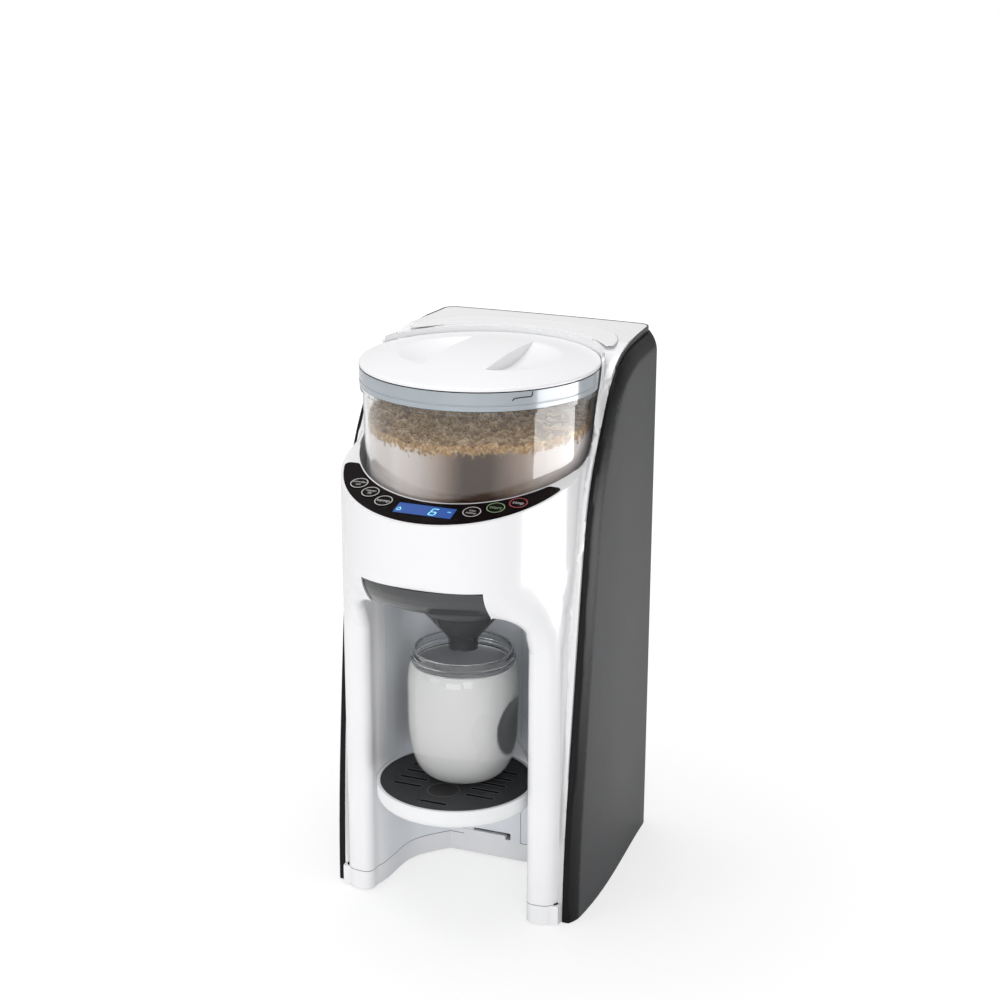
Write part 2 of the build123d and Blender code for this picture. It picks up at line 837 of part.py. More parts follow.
with BuildPart() as frame:
    add(box(-frame_half, frame_half, frame_front_y, frame_front_y + frame_thickness, base_height, frame_top))
    shelf_top = tank_bottom - 0.3
    add(box(-tank_half + 1, tank_half - 1, frame_front_y, shelf_rear_y, shelf_top - shelf_thickness, shelf_top))
    for side in (-1, 1):
        add(box(side * 40 - 1.5, side * 40 + 1.5, frame_front_y, shelf_rear_y - 20, base_height, tank_bottom - 1))
        add(post(side * rear_screw[0], rear_screw[1], base_height, post_top, screw_post + 1))
        hole = post(side * rear_screw[0], rear_screw[1], 0, screw_top + 1, screw_radius + screw_play)
        add(hole, mode=Mode.SUBTRACT)
    with BuildSketch(Plane.XZ.offset(-frame_front_y - 10)):
        with Locations((valve_x, valve_z)):
            Circle(valve_bore + 0.6)
    extrude(amount=20, mode=Mode.SUBTRACT)
save(frame.part, "rear_frame")

# ---------------------------------------------------------------- base

with BuildPart() as leg_feet:
    add(front_outline(base_bottom, 0))
    extrude(amount=base_height - base_bottom)
    add(bay_cut, mode=Mode.SUBTRACT)
    fillet(leg_feet.edges().filter_by(Axis.Z).filter_by(on_bay_lip), radius=lip_radius)
    add(box(-far, far, bay_back_y, far, 0, far), mode=Mode.SUBTRACT)

with BuildPart() as base_hollow:
    add(extruded(body_outline(floor_top, core_inset + wall), far))
    add(both(extruded(front_outline(floor_top, wall), far), box(-far, far, -far, bay_back_y, 0, far)))
    add(bay_space(bay_wall, bay_height), mode=Mode.SUBTRACT)

with BuildPart() as base:
    add(body_outline(base_bottom, core_inset))
    extrude(amount=base_height - base_bottom)
    add(bay_cut, mode=Mode.SUBTRACT)
    add(box(-bay_front_half - lip_radius, bay_front_half + lip_radius, -far, leg_centre_y, 0, far), mode=Mode.SUBTRACT)
    add(leg_feet.part)
    add(base_hollow.part, mode=Mode.SUBTRACT)
    for x, y in screw_places:
        add(post(x, y, base_bottom, base_height, screw_post + 1.5))
    for x, y in screw_places:
        add(post(x, y, base_bottom - 1, screw_seat, screw_head + screw_clearance), mode=Mode.SUBTRACT)
        add(post(x, y, base_bottom - 1, base_height + 1, screw_radius + screw_clearance), mode=Mode.SUBTRACT)
    for x, y in foot_places:
        add(post(x, y, base_bottom, floor_top, foot_radius + foot_socket))
    for x, y in foot_places:
        add(post(x, y, 0, base_bottom + foot_socket, foot_radius), mode=Mode.SUBTRACT)
save(base.part, "base_ring")

with BuildPart() as feet:
    for x, y in foot_places:
        add(post(x, y, 0, base_bottom + foot_socket, foot_radius))
save(feet.part, "rubber_feet")

with BuildPart() as screws:
    for x, y in screw_places:
        add(post(x, y, screw_seat - screw_head_height, screw_seat, screw_head))
        add(post(x, y, screw_seat, screw_top, screw_radius))
save(screws.part, "base_screws")

# ---------------------------------------------------------------- powder container, ring and lid

wall_slope = (container_radius - container_foot) / (ring_bottom - container_floor)


def container_inner(z):
    """Inner radius of the container at a height."""
    return container_foot + wall_slope * (z - container_floor) - container_wall


neck_top = lid_bottom - 2 * ring_gap
shoulder_top = ring_bottom - ring_gap
inner_foot = container_inner(container_floor)
inner_head = container_inner(ring_bottom)
with BuildPart() as container:
    add(cone(0, hopper_y, container_floor, ring_bottom, container_foot, container_radius))
    add(post(0, hopper_y, container_bottom, container_floor, container_foot - 2 * ring_gap))
    add(post(0, hopper_y, shoulder_top - ring_shoulder, shoulder_top, ring_radius - ring_gap))
    add(post(0, hopper_y, ring_bottom, neck_top, container_radius))
    add(cone(0, hopper_y, container_floor, ring_bottom, inner_foot, inner_head), mode=Mode.SUBTRACT)
    add(post(0, hopper_y, ring_bottom - 1, neck_top + 1, container_radius - container_wall), mode=Mode.SUBTRACT)
    add(post(0, outlet_y, container_bottom - spout_length, container_floor, spout_radius))
    add(post(0, outlet_y, container_bottom - spout_length - 1, container_floor + 1, outlet_radius), mode=Mode.SUBTRACT)
    add(post(0, hopper_y, container_bottom - 1, container_floor + 1, hub_hole), mode=Mode.SUBTRACT)
save(container.part, "powder_container")

with BuildPart() as powder:
    add(post(0, hopper_y, powder_bottom, powder_rear + 10, container_inner(powder_bottom) - 0.1))
    with BuildSketch(Plane.YZ.offset(-far / 2)):
        with BuildLine():
            level = Spline(
                (hopper_y - container_radius, powder_front),
                (hopper_y, (powder_front + powder_rear) / 2 - powder_sag),
                (hopper_y + container_radius, powder_rear),
            )
            up = Line(level @ 1, (hopper_y + container_radius, far))
            across = Line(up @ 1, (hopper_y - container_radius, far))
            Line(across @ 1, level @ 0)
        make_face()
    extrude(amount=far, mode=Mode.SUBTRACT)
save(powder.part, "powder_fill")

with BuildPart() as scraper:
    scraper_top = scraper_bottom + scraper_thickness
    scraper_end = outlet_y + outlet_radius + 4
    add(box(-scraper_half, scraper_half, hopper_y - container_radius, scraper_end, scraper_bottom, scraper_top))
    add(post(0, hopper_y, scraper_bottom, scraper_top, container_inner(scraper_bottom)), mode=Mode.INTERSECT)
save(scraper.part, "outlet_scraper")

with BuildPart() as ring:
    add(post(0, hopper_y, ring_bottom, lid_bottom - ring_gap, ring_radius))
    add(post(0, hopper_y, ring_bottom - 1, lid_bottom, container_radius + ring_gap), mode=Mode.SUBTRACT)
save(ring.part, "locking_ring")

dome_radius = ((ring_radius - dome_margin) ** 2 + dome_rise ** 2) / (2 * dome_rise)


def dome(lower):
    """Everything under the lid's domed top, lowered by a distance."""
    with BuildPart() as ball:
        with Locations((0, hopper_y, lid_crown - dome_radius - lower)):
            Sphere(dome_radius)
    return ball.part


def lid_recess(side, grow):
    """Half bowl on one side of the lid's grip bar."""
    with BuildPart() as bowl:
        with Locations((side * recess_centre, hopper_y, lid_crown - recess_depth + recess_radius)):
            Sphere(recess_radius + grow)
        near = side * (grip_half - grow)
        add(box(min(near, side * far), max(near, side * far), -far, far, 0, far), mode=Mode.INTERSECT)
    return bowl.part


with BuildPart() as lid_room:
    add(post(0, hopper_y, plug_bottom - 1, lid_crown, plug_radius - lid_wall))
    add(dome(lid_wall), mode=Mode.INTERSECT)
    add(lid_recess(1, lid_wall), mode=Mode.SUBTRACT)
    add(lid_recess(-1, lid_wall), mode=Mode.SUBTRACT)

seal_groove = post(0, hopper_y, seal_bottom, seal_bottom + seal_height, plug_radius + 5)
seal_core = post(0, hopper_y, seal_bottom - 1, seal_bottom + seal_height + 1, plug_radius - seal_depth)
with BuildPart() as lid:
    with BuildSketch(Plane.XY.offset(lid_bottom)):
        with Locations((0, hopper_y)):
            Circle(ring_radius)
    extrude(amount=lid_crown - lid_bottom)
    add(dome(0), mode=Mode.INTERSECT)
    rim = [edge for edge in lid.edges() if edge.is_closed]
    fillet(sorted(rim, key=lambda edge: edge.center().Z)[-1], radius=lid_edge)
    add(post(0, hopper_y, plug_bottom, lid_bottom + 1, plug_radius))
    add(lid_room.part, mode=Mode.SUBTRACT)
    for side in (-1, 1):
        add(lid_recess(side, 0), mode=Mode.SUBTRACT)
    add(cut_away(seal_groove, seal_core), mode=Mode.SUBTRACT)
save(lid.part, "container_lid")

with BuildPart() as seal:
    add(post(0, hopper_y, seal_bottom, seal_bottom + seal_height, plug_radius + seal_squeeze))
    add(seal_core, mode=Mode.SUBTRACT)
save(seal.part, "lid_seal")

# ---------------------------------------------------------------- dosing wheel and drive


def hexagon(z_low, z_high, across):
    """A hexagonal prism on the drive axis."""
    with BuildPart() as prism:
        with BuildSketch(Plane.XY.offset(z_low)):
            with Locations((0, hopper_y)):
                RegularPolygon(across / 2, 6, major_radius=False)
        extrude(amount=z_high - z_low)
    return prism.part


def gear_outline(teeth, start_angle):
    """Points round a spur gear: involute flanks, tips and roots, thinned by the backlash."""
    pitch = gear_module * teeth / 2
    base = pitch * cos(radians(pressure_angle))
    tip = pitch + gear_module * 0.85
    root = pitch - gear_module * 1.25
    rolled = sqrt((pitch / base) ** 2 - 1)
    half = pi / (2 * teeth) - gear_backlash / (2 * pitch) + rolled - atan(rolled)
    flank = []
    for step in range(5):
        radius = blend(max(base, root), tip, step / 4)
        reach = sqrt(max((radius / base) ** 2 - 1, 0))
        flank.append((radius, half - reach + atan(reach)))
    points = []
    for tooth in range(teeth):
        middle = radians(start_angle) + 2 * pi * tooth / teeth
        side = [(root, half)] + flank
        for radius, angle in side:
            points.append((radius * cos(middle - angle), radius * sin(middle - angle)))
        for radius, angle in reversed(side):
            points.append((radius * cos(middle + angle), radius * sin(middle + angle)))
    return points


def gear(teeth, start_angle, x):
    with BuildPart() as wheel:
        with BuildSketch(Plane.XY.offset(gear_level)):
            with Locations((x, hopper_y)):
                Polygon(*gear_outline(teeth, start_angle), align=None)
        extrude(amount=gear_width)
    return wheel.part


with BuildPart() as wheel:
    add(post(0, hopper_y, wheel_bottom, wheel_bottom + wheel_thickness, wheel_radius))
    add(post(0, hopper_y, container_floor + well_gap, wheel_bottom, hub_radius + wheel_hub_wall))
    add(post(0, hopper_y, container_bottom + 2 * well_gap, container_floor + 1, hub_radius))
    with BuildSketch(Plane.XY.offset(wheel_bottom)):
        with Locations((0, hopper_y)):
            with PolarLocations(outlet_offset, pocket_count, start_angle=-90):
                Circle(pocket_radius)
            with PolarLocations(wheel_radius - vane_length + 1, vane_count):
                SlotOverall(vane_length, vane_width, rotation=90)
    extrude(amount=wheel_thickness, mode=Mode.SUBTRACT)
    add(hexagon(container_bottom, coupler_top + well_gap, hex_width + hex_play), mode=Mode.SUBTRACT)
save(wheel.part, "stirring_wheel")

with BuildPart() as nut:
    add(hexagon(wheel_bottom + wheel_thickness, powder_bottom - 0.4, nut_width))
save(nut.part, "wheel_nut")

with BuildPart() as shaft:
    add(post(0, hopper_y, motor_top + well_gap, container_bottom, shaft_radius))
save(shaft.part, "drive_shaft")

with BuildPart() as coupler:
    add(hexagon(container_bottom, coupler_top, hex_width))
save(coupler.part, "drive_coupler")

with BuildPart() as drive_gear:
    add(gear(gear_teeth, 0, 0))
    add(post(0, hopper_y, gear_plate_top + well_gap, gear_level, gear_hub))
    add(post(0, hopper_y, 0, far, shaft_radius), mode=Mode.SUBTRACT)
save(drive_gear.part, "drive_gear")

with BuildPart() as pinion:
    add(gear(pinion_teeth, 180 / pinion_teeth, motor_x))
    add(post(motor_x, hopper_y, motor_top - pinion_shaft_length, gear_level, pinion_shaft_radius))
save(pinion.part, "motor_pinion")

with BuildPart() as motor:
    add(post(motor_x, hopper_y, motor_top - motor_length, motor_top, motor_radius))
    bore_bottom = motor_top - pinion_shaft_length - 0.5
    add(post(motor_x, hopper_y, bore_bottom, motor_top + 1, pinion_shaft_radius + running_gap), mode=Mode.SUBTRACT)
save(motor.part, "stir_motor")

with BuildPart() as gear_plate:
    plate_front = hopper_y - plate_front_reach
    plate_rear = hopper_y + plate_rear_reach
    add(box(plate_left, plate_right, plate_front, plate_rear, motor_top, gear_plate_top))
    for x in (plate_left + plate_post, plate_right - plate_post):
        for y in (plate_front + plate_post, plate_rear - plate_post):
            add(post(x, y, gear_plate_top, well_floor - wall, plate_post))
    add(post(0, hopper_y, 0, far, shaft_radius + running_gap), mode=Mode.SUBTRACT)
    add(post(motor_x, hopper_y, 0, far, 2 * pinion_shaft_radius), mode=Mode.SUBTRACT)
save(gear_plate.part, "gear_plate")

# ---------------------------------------------------------------- mixing head, funnel

mixer_half = visor_slot + mixer_side
with BuildPart() as mixer:
    add(box(-mixer_half, mixer_half, mixer_front_y, mixer_rear_y, plate_low, plate_high))
    for low in (-mixer_half, mixer_half - 2 * chute_wall + 0.4):
        add(box(low, low + 2 * chute_wall - 0.4, mixer_front_y, hopper_y + 1, ceiling_top, plate_high))
    add(post(0, outlet_y, plate_low, well_floor - wall, chute_radius + chute_wall))
    add(post(port_x, outlet_y, plate_high, plate_high + port_height, tube_radius + port_wall))
    add(post(0, outlet_y, 0, far, chute_radius), mode=Mode.SUBTRACT)
    add(post(port_x, outlet_y, plate_high + chute_wall, far, tube_radius + 0.02), mode=Mode.SUBTRACT)
    add(post(port_x, outlet_y, 0, far, tube_bore), mode=Mode.SUBTRACT)
save(mixer.part, "mixing_head")

with BuildPart() as visor:
    with BuildSketch(Plane.YZ):
        Polygon(
            (visor_axis_y - visor_low_radius, flange_bottom),
            (visor_axis_y - visor_top_radius, visor_top),
            (visor_axis_y - visor_top_radius + funnel_wall, visor_top),
            (visor_axis_y - visor_low_radius + funnel_wall, flange_bottom),
            align=None,
        )
    revolve(axis=Axis((0, visor_axis_y, 0), (0, 0, 1)))
    add(box(-visor_half, visor_half, -far, visor_axis_y, 0, far), mode=Mode.INTERSECT)

with BuildPart() as funnel:
    add(post(0, visor_axis_y, flange_bottom, flange_top, visor_low_radius))
    add(box(-visor_half, visor_half, -far, funnel_rear_y + 2, 0, far), mode=Mode.INTERSECT)
    add(visor.part)
    add(post(0, outlet_y, cone_top, flange_bottom, bowl_radius))
    add(cone(0, outlet_y, nozzle_top, cone_top, nozzle_radius, bowl_radius))
    add(post(0, outlet_y, nozzle_tip, nozzle_top, nozzle_radius))
    bowl_bore = bowl_radius - funnel_wall
    nozzle_bore = nozzle_radius - funnel_wall
    add(post(0, outlet_y, cone_top, flange_top + 1, bowl_bore), mode=Mode.SUBTRACT)
    add(cone(0, outlet_y, nozzle_top, cone_top, nozzle_bore, bowl_bore), mode=Mode.SUBTRACT)
    add(post(0, outlet_y, nozzle_tip - 1, nozzle_top, nozzle_bore), mode=Mode.SUBTRACT)
save(funnel.part, "funnel")

# ---------------------------------------------------------------- tray and bottle

dish_bottom = tray_top - tray_depth
tray_insert_radius = tray_radius - tray_rim
with BuildPart() as dish:
    add(post(0, tray_centre_y, dish_bottom, tray_top, tray_radius))
    fillet(dish.edges().group_by(Axis.Z)[0], radius=tray_heel)
    basin_radius = tray_insert_radius - tray_ledge
    add(post(0, tray_centre_y, dish_bottom + tray_floor, tray_top + 1, basin_radius), mode=Mode.SUBTRACT)
    seat_radius = tray_insert_radius + 0.15
    add(post(0, tray_centre_y, tray_top - insert_thickness, tray_top + 1, seat_radius), mode=Mode.SUBTRACT)
    fin_face = bay_back_y - 1.2
    fin_foot = dish_bottom + fin_thickness
    fin_head = tray_top + fin_rise
    with BuildSketch(Plane.XZ.offset(-fin_face)):
        Polygon(
            (-fin_half, fin_foot),
            (fin_half, fin_foot),
            (fin_top_half, fin_head),
            (-fin_top_half, fin_head),
            align=None,
        )
    extrude(amount=fin_thickness)
    neck_front = tray_centre_y + tray_radius - fin_thickness
    neck_head = tray_top - fin_thickness
    add(box(-hook_half - 2, hook_half + 2, neck_front, fin_face - 1, fin_foot, neck_head))
    hook_low = slot_top_level + 0.4
    hook_high = slot_top_level + slot_height - 0.4
    add(box(-hook_half, hook_half, fin_face - 2, bay_back_y + hook_reach, hook_low, hook_high))
save(dish.part, "tray_dish")

with BuildPart() as insert:
    add(post(0, tray_centre_y, tray_top - insert_thickness, tray_top, tray_insert_radius))
    with BuildSketch(Plane.XY.offset(tray_top - insert_thickness)):
        with Locations((0, tray_centre_y)):
            with GridLocations(2 * drain_x, drain_pitch, 2, drain_rows):
                SlotOverall(drain_length, drain_width)
            with Locations((0, 10 - tray_insert_radius)):
                SlotOverall(drain_length, drain_width)
    extrude(amount=insert_thickness, mode=Mode.SUBTRACT)
    dimple_curve = (dimple_radius ** 2 + dimple_depth ** 2) / (2 * dimple_depth)
    with Locations((0, tray_centre_y - 2 * dimple_radius, tray_top + dimple_curve - dimple_depth)):
        Sphere(dimple_curve, mode=Mode.SUBTRACT)
save(insert.part, "tray_insert")


def bottle_shape(shrink, low, high):
    """Turned bottle profile, shrunk all round by a distance."""
    radius = bottle_radius - shrink
    neck = bottle_neck - shrink
    side_low = bottle_base + bottle_heel
    side_high = bottle_base + bottle_shoulder
    neck_low = bottle_base + bottle_collar
    with BuildPart() as turned:
        with BuildSketch(Plane.XZ):
            with BuildLine():
                foot = Line((0, low), (bottle_foot - shrink, low))
                heel = ThreePointArc(foot @ 1, (radius - 2.8, low + 0.4 * bottle_heel), (radius, side_low))
                side = Line(heel @ 1, (radius, side_high))
                middle = ((radius + neck) / 2 + 1.2, (side_high + neck_low) / 2)
                shoulder = ThreePointArc(side @ 1, middle, (neck, neck_low))
                collar = Line(shoulder @ 1, (neck, high))
                top = Line(collar @ 1, (0, high))
                Line(top @ 1, foot @ 0)
            make_face()
        revolve(axis=Axis.Z)
    return turned.part.moved(Location((0, outlet_y, 0)))


with BuildPart() as bottle:
    add(bottle_shape(0, bottle_base, bottle_base + bottle_height))
    for level in thread_levels:
        add(post(0, outlet_y, bottle_base + level, bottle_base + level + thread_height, bottle_neck + thread_depth))
    add(bottle_shape(glass_wall, bottle_base + glass_wall, bottle_base + bottle_height + 1), mode=Mode.SUBTRACT)
save(bottle.part, "bottle")

with BuildPart() as milk:
    add(bottle_shape(glass_wall, bottle_base + glass_wall, bottle_base + milk_level))
save(milk.part, "bottle_milk")

# ---------------------------------------------------------------- water tank

scoop_y = rear_reach + scoop_radius - scoop_depth
with BuildPart() as tank_room:
    inner_half = tank_half - tank_wall
    add(extruded(body_outline(tank_bottom + tank_wall, tank_wall), tank_top - tank_bottom - 2 * tank_wall))
    add(box(-inner_half, inner_half, tank_front_y + tank_wall, far, 0, far), mode=Mode.INTERSECT)
    with Locations((0, scoop_y, scoop_height)):
        Sphere(scoop_radius + tank_wall, mode=Mode.SUBTRACT)

with BuildPart() as tank:
    add(extruded(body_outline(tank_bottom, 0), tank_top - tank_bottom))
    add(box(-tank_half, tank_half, tank_front_y, far, 0, far), mode=Mode.INTERSECT)
    add(tank_room.part, mode=Mode.SUBTRACT)
    with Locations((0, scoop_y, scoop_height)):
        Sphere(scoop_radius, mode=Mode.SUBTRACT)
    mouth_front = tank_front_y + 2 * tank_wall
    mouth = box(-mouth_half, mouth_half, mouth_front, mouth_front + mouth_depth, tank_top - 5, tank_top + 1)
    add(mouth, mode=Mode.SUBTRACT)
    with BuildSketch(Plane.XZ.offset(-tank_front_y - 1)):
        with Locations((valve_x, valve_z)):
            Circle(spigot_radius)
    extrude(amount=spigot_length + 1)
    with BuildSketch(Plane.XZ.offset(-tank_front_y - 4)):
        with Locations((valve_x, valve_z)):
            Circle(spigot_radius - tank_wall + 0.4)
    extrude(amount=spigot_length + 5, mode=Mode.SUBTRACT)
save(tank.part, "water_tank")

with BuildPart() as valve:
    with BuildSketch(Plane.XZ.offset(-frame_front_y)):
        with Locations((valve_x, valve_z)):
            Circle(valve_bore + valve_wall)
    extrude(amount=valve_reach)
    with BuildSketch(Plane.XZ.offset(-frame_front_y - 1)):
        with Locations((valve_x, valve_z)):
            Circle(valve_bore)
    extrude(amount=valve_reach + 1 - valve_wall, mode=Mode.SUBTRACT)
save(valve.part, "valve_seat")

with BuildPart() as tank_cap:
    seat = deck_height - lid_seat + 0.3
    skirt = deck_height - tank_lid_skirt
    edge = tank_lid_rim + 0.3
    hollow = edge + tank_lid_rim
    add(crescent_lid(0.3, seat, deck_height + 0.5))
    add(crescent_lid(edge, skirt, seat))
    add(crescent_lid(hollow, skirt, seat), mode=Mode.SUBTRACT)
save(tank_cap.part, "tank_lid")

# ---------------------------------------------------------------- pump, heater, pipes, electrics

with BuildPart() as pump:
    add(box(pump_left, pump_right, pump_rear_y - pump_depth, pump_rear_y, floor_top, pump_top))
    fillet(pump.edges().filter_by(Axis.Z), radius=pump_corner)
save(pump.part, "water_pump")

with BuildPart() as heater:
    add(post(heater_x, heater_y, floor_top, heater_top, heater_radius))
    fillet(heater.edges().group_by(Axis.Z)[-1], radius=heater_edge)
save(heater.part, "water_heater")

feed_points = [
    (valve_x, heater_y, pump_top),
    (valve_x, heater_y, pump_top + feed_rise),
    (heater_x - heater_radius + 0.5, heater_y, pump_top + feed_rise),
]
save(cut_away(tube(feed_points), heater.part), "feed_tube")

hot_points = [
    (heater_x, heater_y, heater_top),
    (heater_x, heater_y, heater_top + hot_rise),
    (port_x, heater_y, heater_top + hot_rise),
    (port_x, heater_y, tube_level),
    (port_x, outlet_y, tube_level),
    (port_x, outlet_y, plate_high + chute_wall),
]
save(tube(hot_points), "hot_water_tube")

with BuildPart() as power_board:
    board_face = power_board_x + board_thickness
    board_rear = frame_front_y - 4
    add(box(power_board_x, board_face, board_rear - power_board_length, board_rear, floor_top, power_board_top))
    part_low = floor_top + 20
    add(box(board_face, board_face + 10, board_rear - 34, board_rear - 14, part_low, part_low + 25))
    add(box(board_face, board_face + 8, board_rear - 26, board_rear - 6, part_low + 35, part_low + 50))
save(power_board.part, "power_board")

socket_z = (inlet_low + inlet_high) / 2
fitting_rear = rear_reach - inlet_recess
with BuildPart() as inlet:
    add(box(inlet_x - inlet_half, inlet_x + inlet_half, inlet_front_y, fitting_rear, inlet_low, inlet_high))
    with BuildSketch(Plane.XZ.offset(-fitting_rear)):
        with Locations((inlet_x, socket_z)):
            SlotOverall(socket_width, socket_height)
    extrude(amount=socket_depth, mode=Mode.SUBTRACT)
    with BuildSketch(Plane.XZ.offset(socket_depth - fitting_rear)):
        with Locations((inlet_x, socket_z)):
            with GridLocations(pin_spacing, 0, 2, 1):
                Circle(pin_radius)
    extrude(amount=-pin_length)
save(inlet.part, "power_inlet")

switch_half = inlet_half - switch_wall
switch_low = inlet_low + switch_wall + 1
switch_high = inlet_high - switch_wall - 1
with BuildPart() as switch_frame:
    add(box(-inlet_x - inlet_half, -inlet_x + inlet_half, inlet_front_y, fitting_rear, inlet_low, inlet_high))
    room_front = fitting_rear - switch_depth + inlet_recess
    add(
        box(-inlet_x - switch_half, -inlet_x + switch_half, room_front, rear_reach, switch_low, switch_high),
        mode=Mode.SUBTRACT,
    )
save(switch_frame.part, "switch_housing")

rocker_foot = rocker_height - 2.8
with BuildPart() as rocker:
    with BuildSketch(Plane.YZ.offset(-inlet_x - rocker_half)):
        with BuildLine():
            face = ThreePointArc(
                (switch_y + 1.5, socket_z - rocker_height),
                (switch_y + 0.6, socket_z),
                (switch_y + 1.5, socket_z + rocker_height),
            )
            upper = Line(face @ 1, (switch_y - 3.5, socket_z + rocker_foot))
            hidden = Line(upper @ 1, (switch_y - 3.5, socket_z - rocker_foot))
            Line(hidden @ 1, face @ 0)
        make_face()
    extrude(amount=2 * rocker_half)
save(rocker.part, "power_rocker")

# ---------------------------------------------------------------- control panel

with BuildPart() as panel:
    add(both(crescent(0, 0, panel_corner), panel_slab(0, panel_plate)))
    for x, y in button_spots:
        add(panel_post(x, y, -1, panel_plate + 1, button_radius + button_gap), mode=Mode.SUBTRACT)
    add(box(-lcd_half, lcd_half, lcd_front_y, lcd_rear_y, 0, far), mode=Mode.SUBTRACT)
    for side in (-1, 1):
        add(panel_post(side * (lcd_half + 4), board_post_y, panel_plate, board_depth, board_post_radius))
save(panel.part, "control_panel")

def lcd_block(grow):
    """Upright block on the display's outline, grown by a distance."""
    half = lcd_half + grow
    return box(-half, half, lcd_front_y - grow, lcd_rear_y + grow, 0, far)


with BuildPart() as display:
    add(both(lcd_block(-fit_gap), panel_slab(fit_gap, board_depth)))
    add(both(lcd_block(lcd_rim), panel_slab(panel_plate + fit_gap, board_depth)))
save(display.part, "lcd_display")

with BuildPart() as board:
    add(both(crescent(2 * ledge, 2 * ledge, ledge), panel_slab(board_depth, board_depth + board_thickness)))
    add(box(-board_half, board_half, -far, 0, 0, far), mode=Mode.INTERSECT)
save(board.part, "control_board")

flange_level = panel_plate + 0.3
stem_level = flange_level + 1.0
for number, (x, y) in enumerate(button_spots, start=1):
    with BuildPart() as button:
        add(panel_post(x, y, -button_rise, flange_level, button_radius))
        add(panel_post(x, y, flange_level, stem_level, button_radius + button_flange))
        add(panel_post(x, y, stem_level, board_depth - button_travel - 0.3, button_stem))
    save(button.part, "button_" + str(number))
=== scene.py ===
import json
from math import cos, pi, radians, sin

import bmesh
import bpy
import numpy as np
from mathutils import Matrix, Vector

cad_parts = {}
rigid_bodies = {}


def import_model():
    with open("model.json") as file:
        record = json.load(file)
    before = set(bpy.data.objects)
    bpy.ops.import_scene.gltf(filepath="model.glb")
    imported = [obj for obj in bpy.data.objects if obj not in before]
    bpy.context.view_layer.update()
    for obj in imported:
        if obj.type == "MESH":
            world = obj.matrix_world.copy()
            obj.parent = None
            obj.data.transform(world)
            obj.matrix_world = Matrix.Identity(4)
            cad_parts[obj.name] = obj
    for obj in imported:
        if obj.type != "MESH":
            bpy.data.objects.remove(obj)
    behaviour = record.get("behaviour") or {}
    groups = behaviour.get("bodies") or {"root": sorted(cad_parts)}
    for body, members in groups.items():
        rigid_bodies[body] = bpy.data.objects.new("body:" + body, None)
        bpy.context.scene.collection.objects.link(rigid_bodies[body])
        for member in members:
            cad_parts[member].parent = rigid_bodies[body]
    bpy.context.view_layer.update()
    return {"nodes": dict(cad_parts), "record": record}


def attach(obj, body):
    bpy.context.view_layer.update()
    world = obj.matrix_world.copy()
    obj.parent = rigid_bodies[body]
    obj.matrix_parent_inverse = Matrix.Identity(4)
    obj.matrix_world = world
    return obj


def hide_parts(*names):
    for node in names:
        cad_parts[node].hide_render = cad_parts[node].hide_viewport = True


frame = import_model()
nodes = frame["nodes"]
mm = 0.001
print("frame loaded:", len(nodes), "nodes")

view = {"azimuth": 22.81, "elevation": 20.03, "eye": (511, -1226, 675.5),   # degrees, and mm for the eye
        "lens": 78.4, "sensor": 36, "shift": (0.020, 0.099)}


def newObject(name, data):
    obj = bpy.data.objects.new(name, data)
    bpy.context.scene.collection.objects.link(obj)
    return obj


def makeCamera():
    az, el = radians(view["azimuth"]), radians(view["elevation"])
    back = Vector((sin(az) * cos(el), -cos(az) * cos(el), sin(el)))
    camData = bpy.data.cameras.new("camera")
    camData.lens = view["lens"]
    camData.sensor_width = view["sensor"]
    camData.shift_x, camData.shift_y = view["shift"]
    cam = newObject("camera", camData)
    cam.location = Vector(view["eye"]) * mm
    cam.rotation_euler = back.to_track_quat("Z", "Y").to_euler()
    bpy.context.scene.camera = cam


lamps = {   # places, sizes and aims in metres, power in watts
    "keyLeft": {"place": (-1.2, -1.5, 1.0), "size": (0.8, 1.6), "power": 5.5, "aim": (0, 0, 0.18)},
    "fillRight": {"place": (1.0, -1.6, 0.75), "size": (0.6, 1.4), "power": 7.6, "aim": (0, 0, 0.2)},
    "topSoft": {"place": (-0.3, 0.2, 1.6), "size": (1.2, 1.2), "power": 12.0, "aim": (0, 0, 0.2)},
    "frontSoft": {"place": (0.1, -1.9, 0.3), "size": (1.0, 0.6), "power": 5.2, "aim": (0, 0, 0.12)},
    "glossRight": {"place": (0.62, 0.1, 0.09), "size": (0.6, 0.34), "power": 5.0, "aim": (0, 0, 0.32),
                   "onlyGloss": True},
}


def makeLamps():
    for name, v in lamps.items():
        data = bpy.data.lights.new(name, "AREA")
        data.shape = "RECTANGLE"
        data.size, data.size_y = v["size"]
        data.energy = v["power"]
        lamp = newObject(name, data)
        lamp.location = v["place"]
        lamp.rotation_euler = (Vector(v["place"]) - Vector(v["aim"])).to_track_quat("Z", "Y").to_euler()
        if v.get("onlyGloss"):   # a reflection panel: it shows in glossy plastic and lights nothing
            lamp.visible_diffuse = lamp.visible_camera = lamp.visible_transmission = False


studio = {"worldSeen": 1.0, "worldLight": 0.5, "floorHalf": 6.0, "floorColour": 0.93, "floorGlow": 1.1,
          "shadowShare": 0.4, "shadowFrom": 0.1, "shadowReach": 0.75}   # lengths in metres


def mathNode(nt, operation, *values):
    # each value is a number for its socket, or the output that feeds it
    node = nt.nodes.new("ShaderNodeMath")
    node.operation = operation
    for socket, value in zip(node.inputs, values):
        if isinstance(value, (int, float)):
            socket.default_value = value
        else:
            nt.links.new(value, socket)
    return node.outputs[0]


def setInputs(node, values):
    for label, value in values.items():
        node.inputs[label].default_value = value


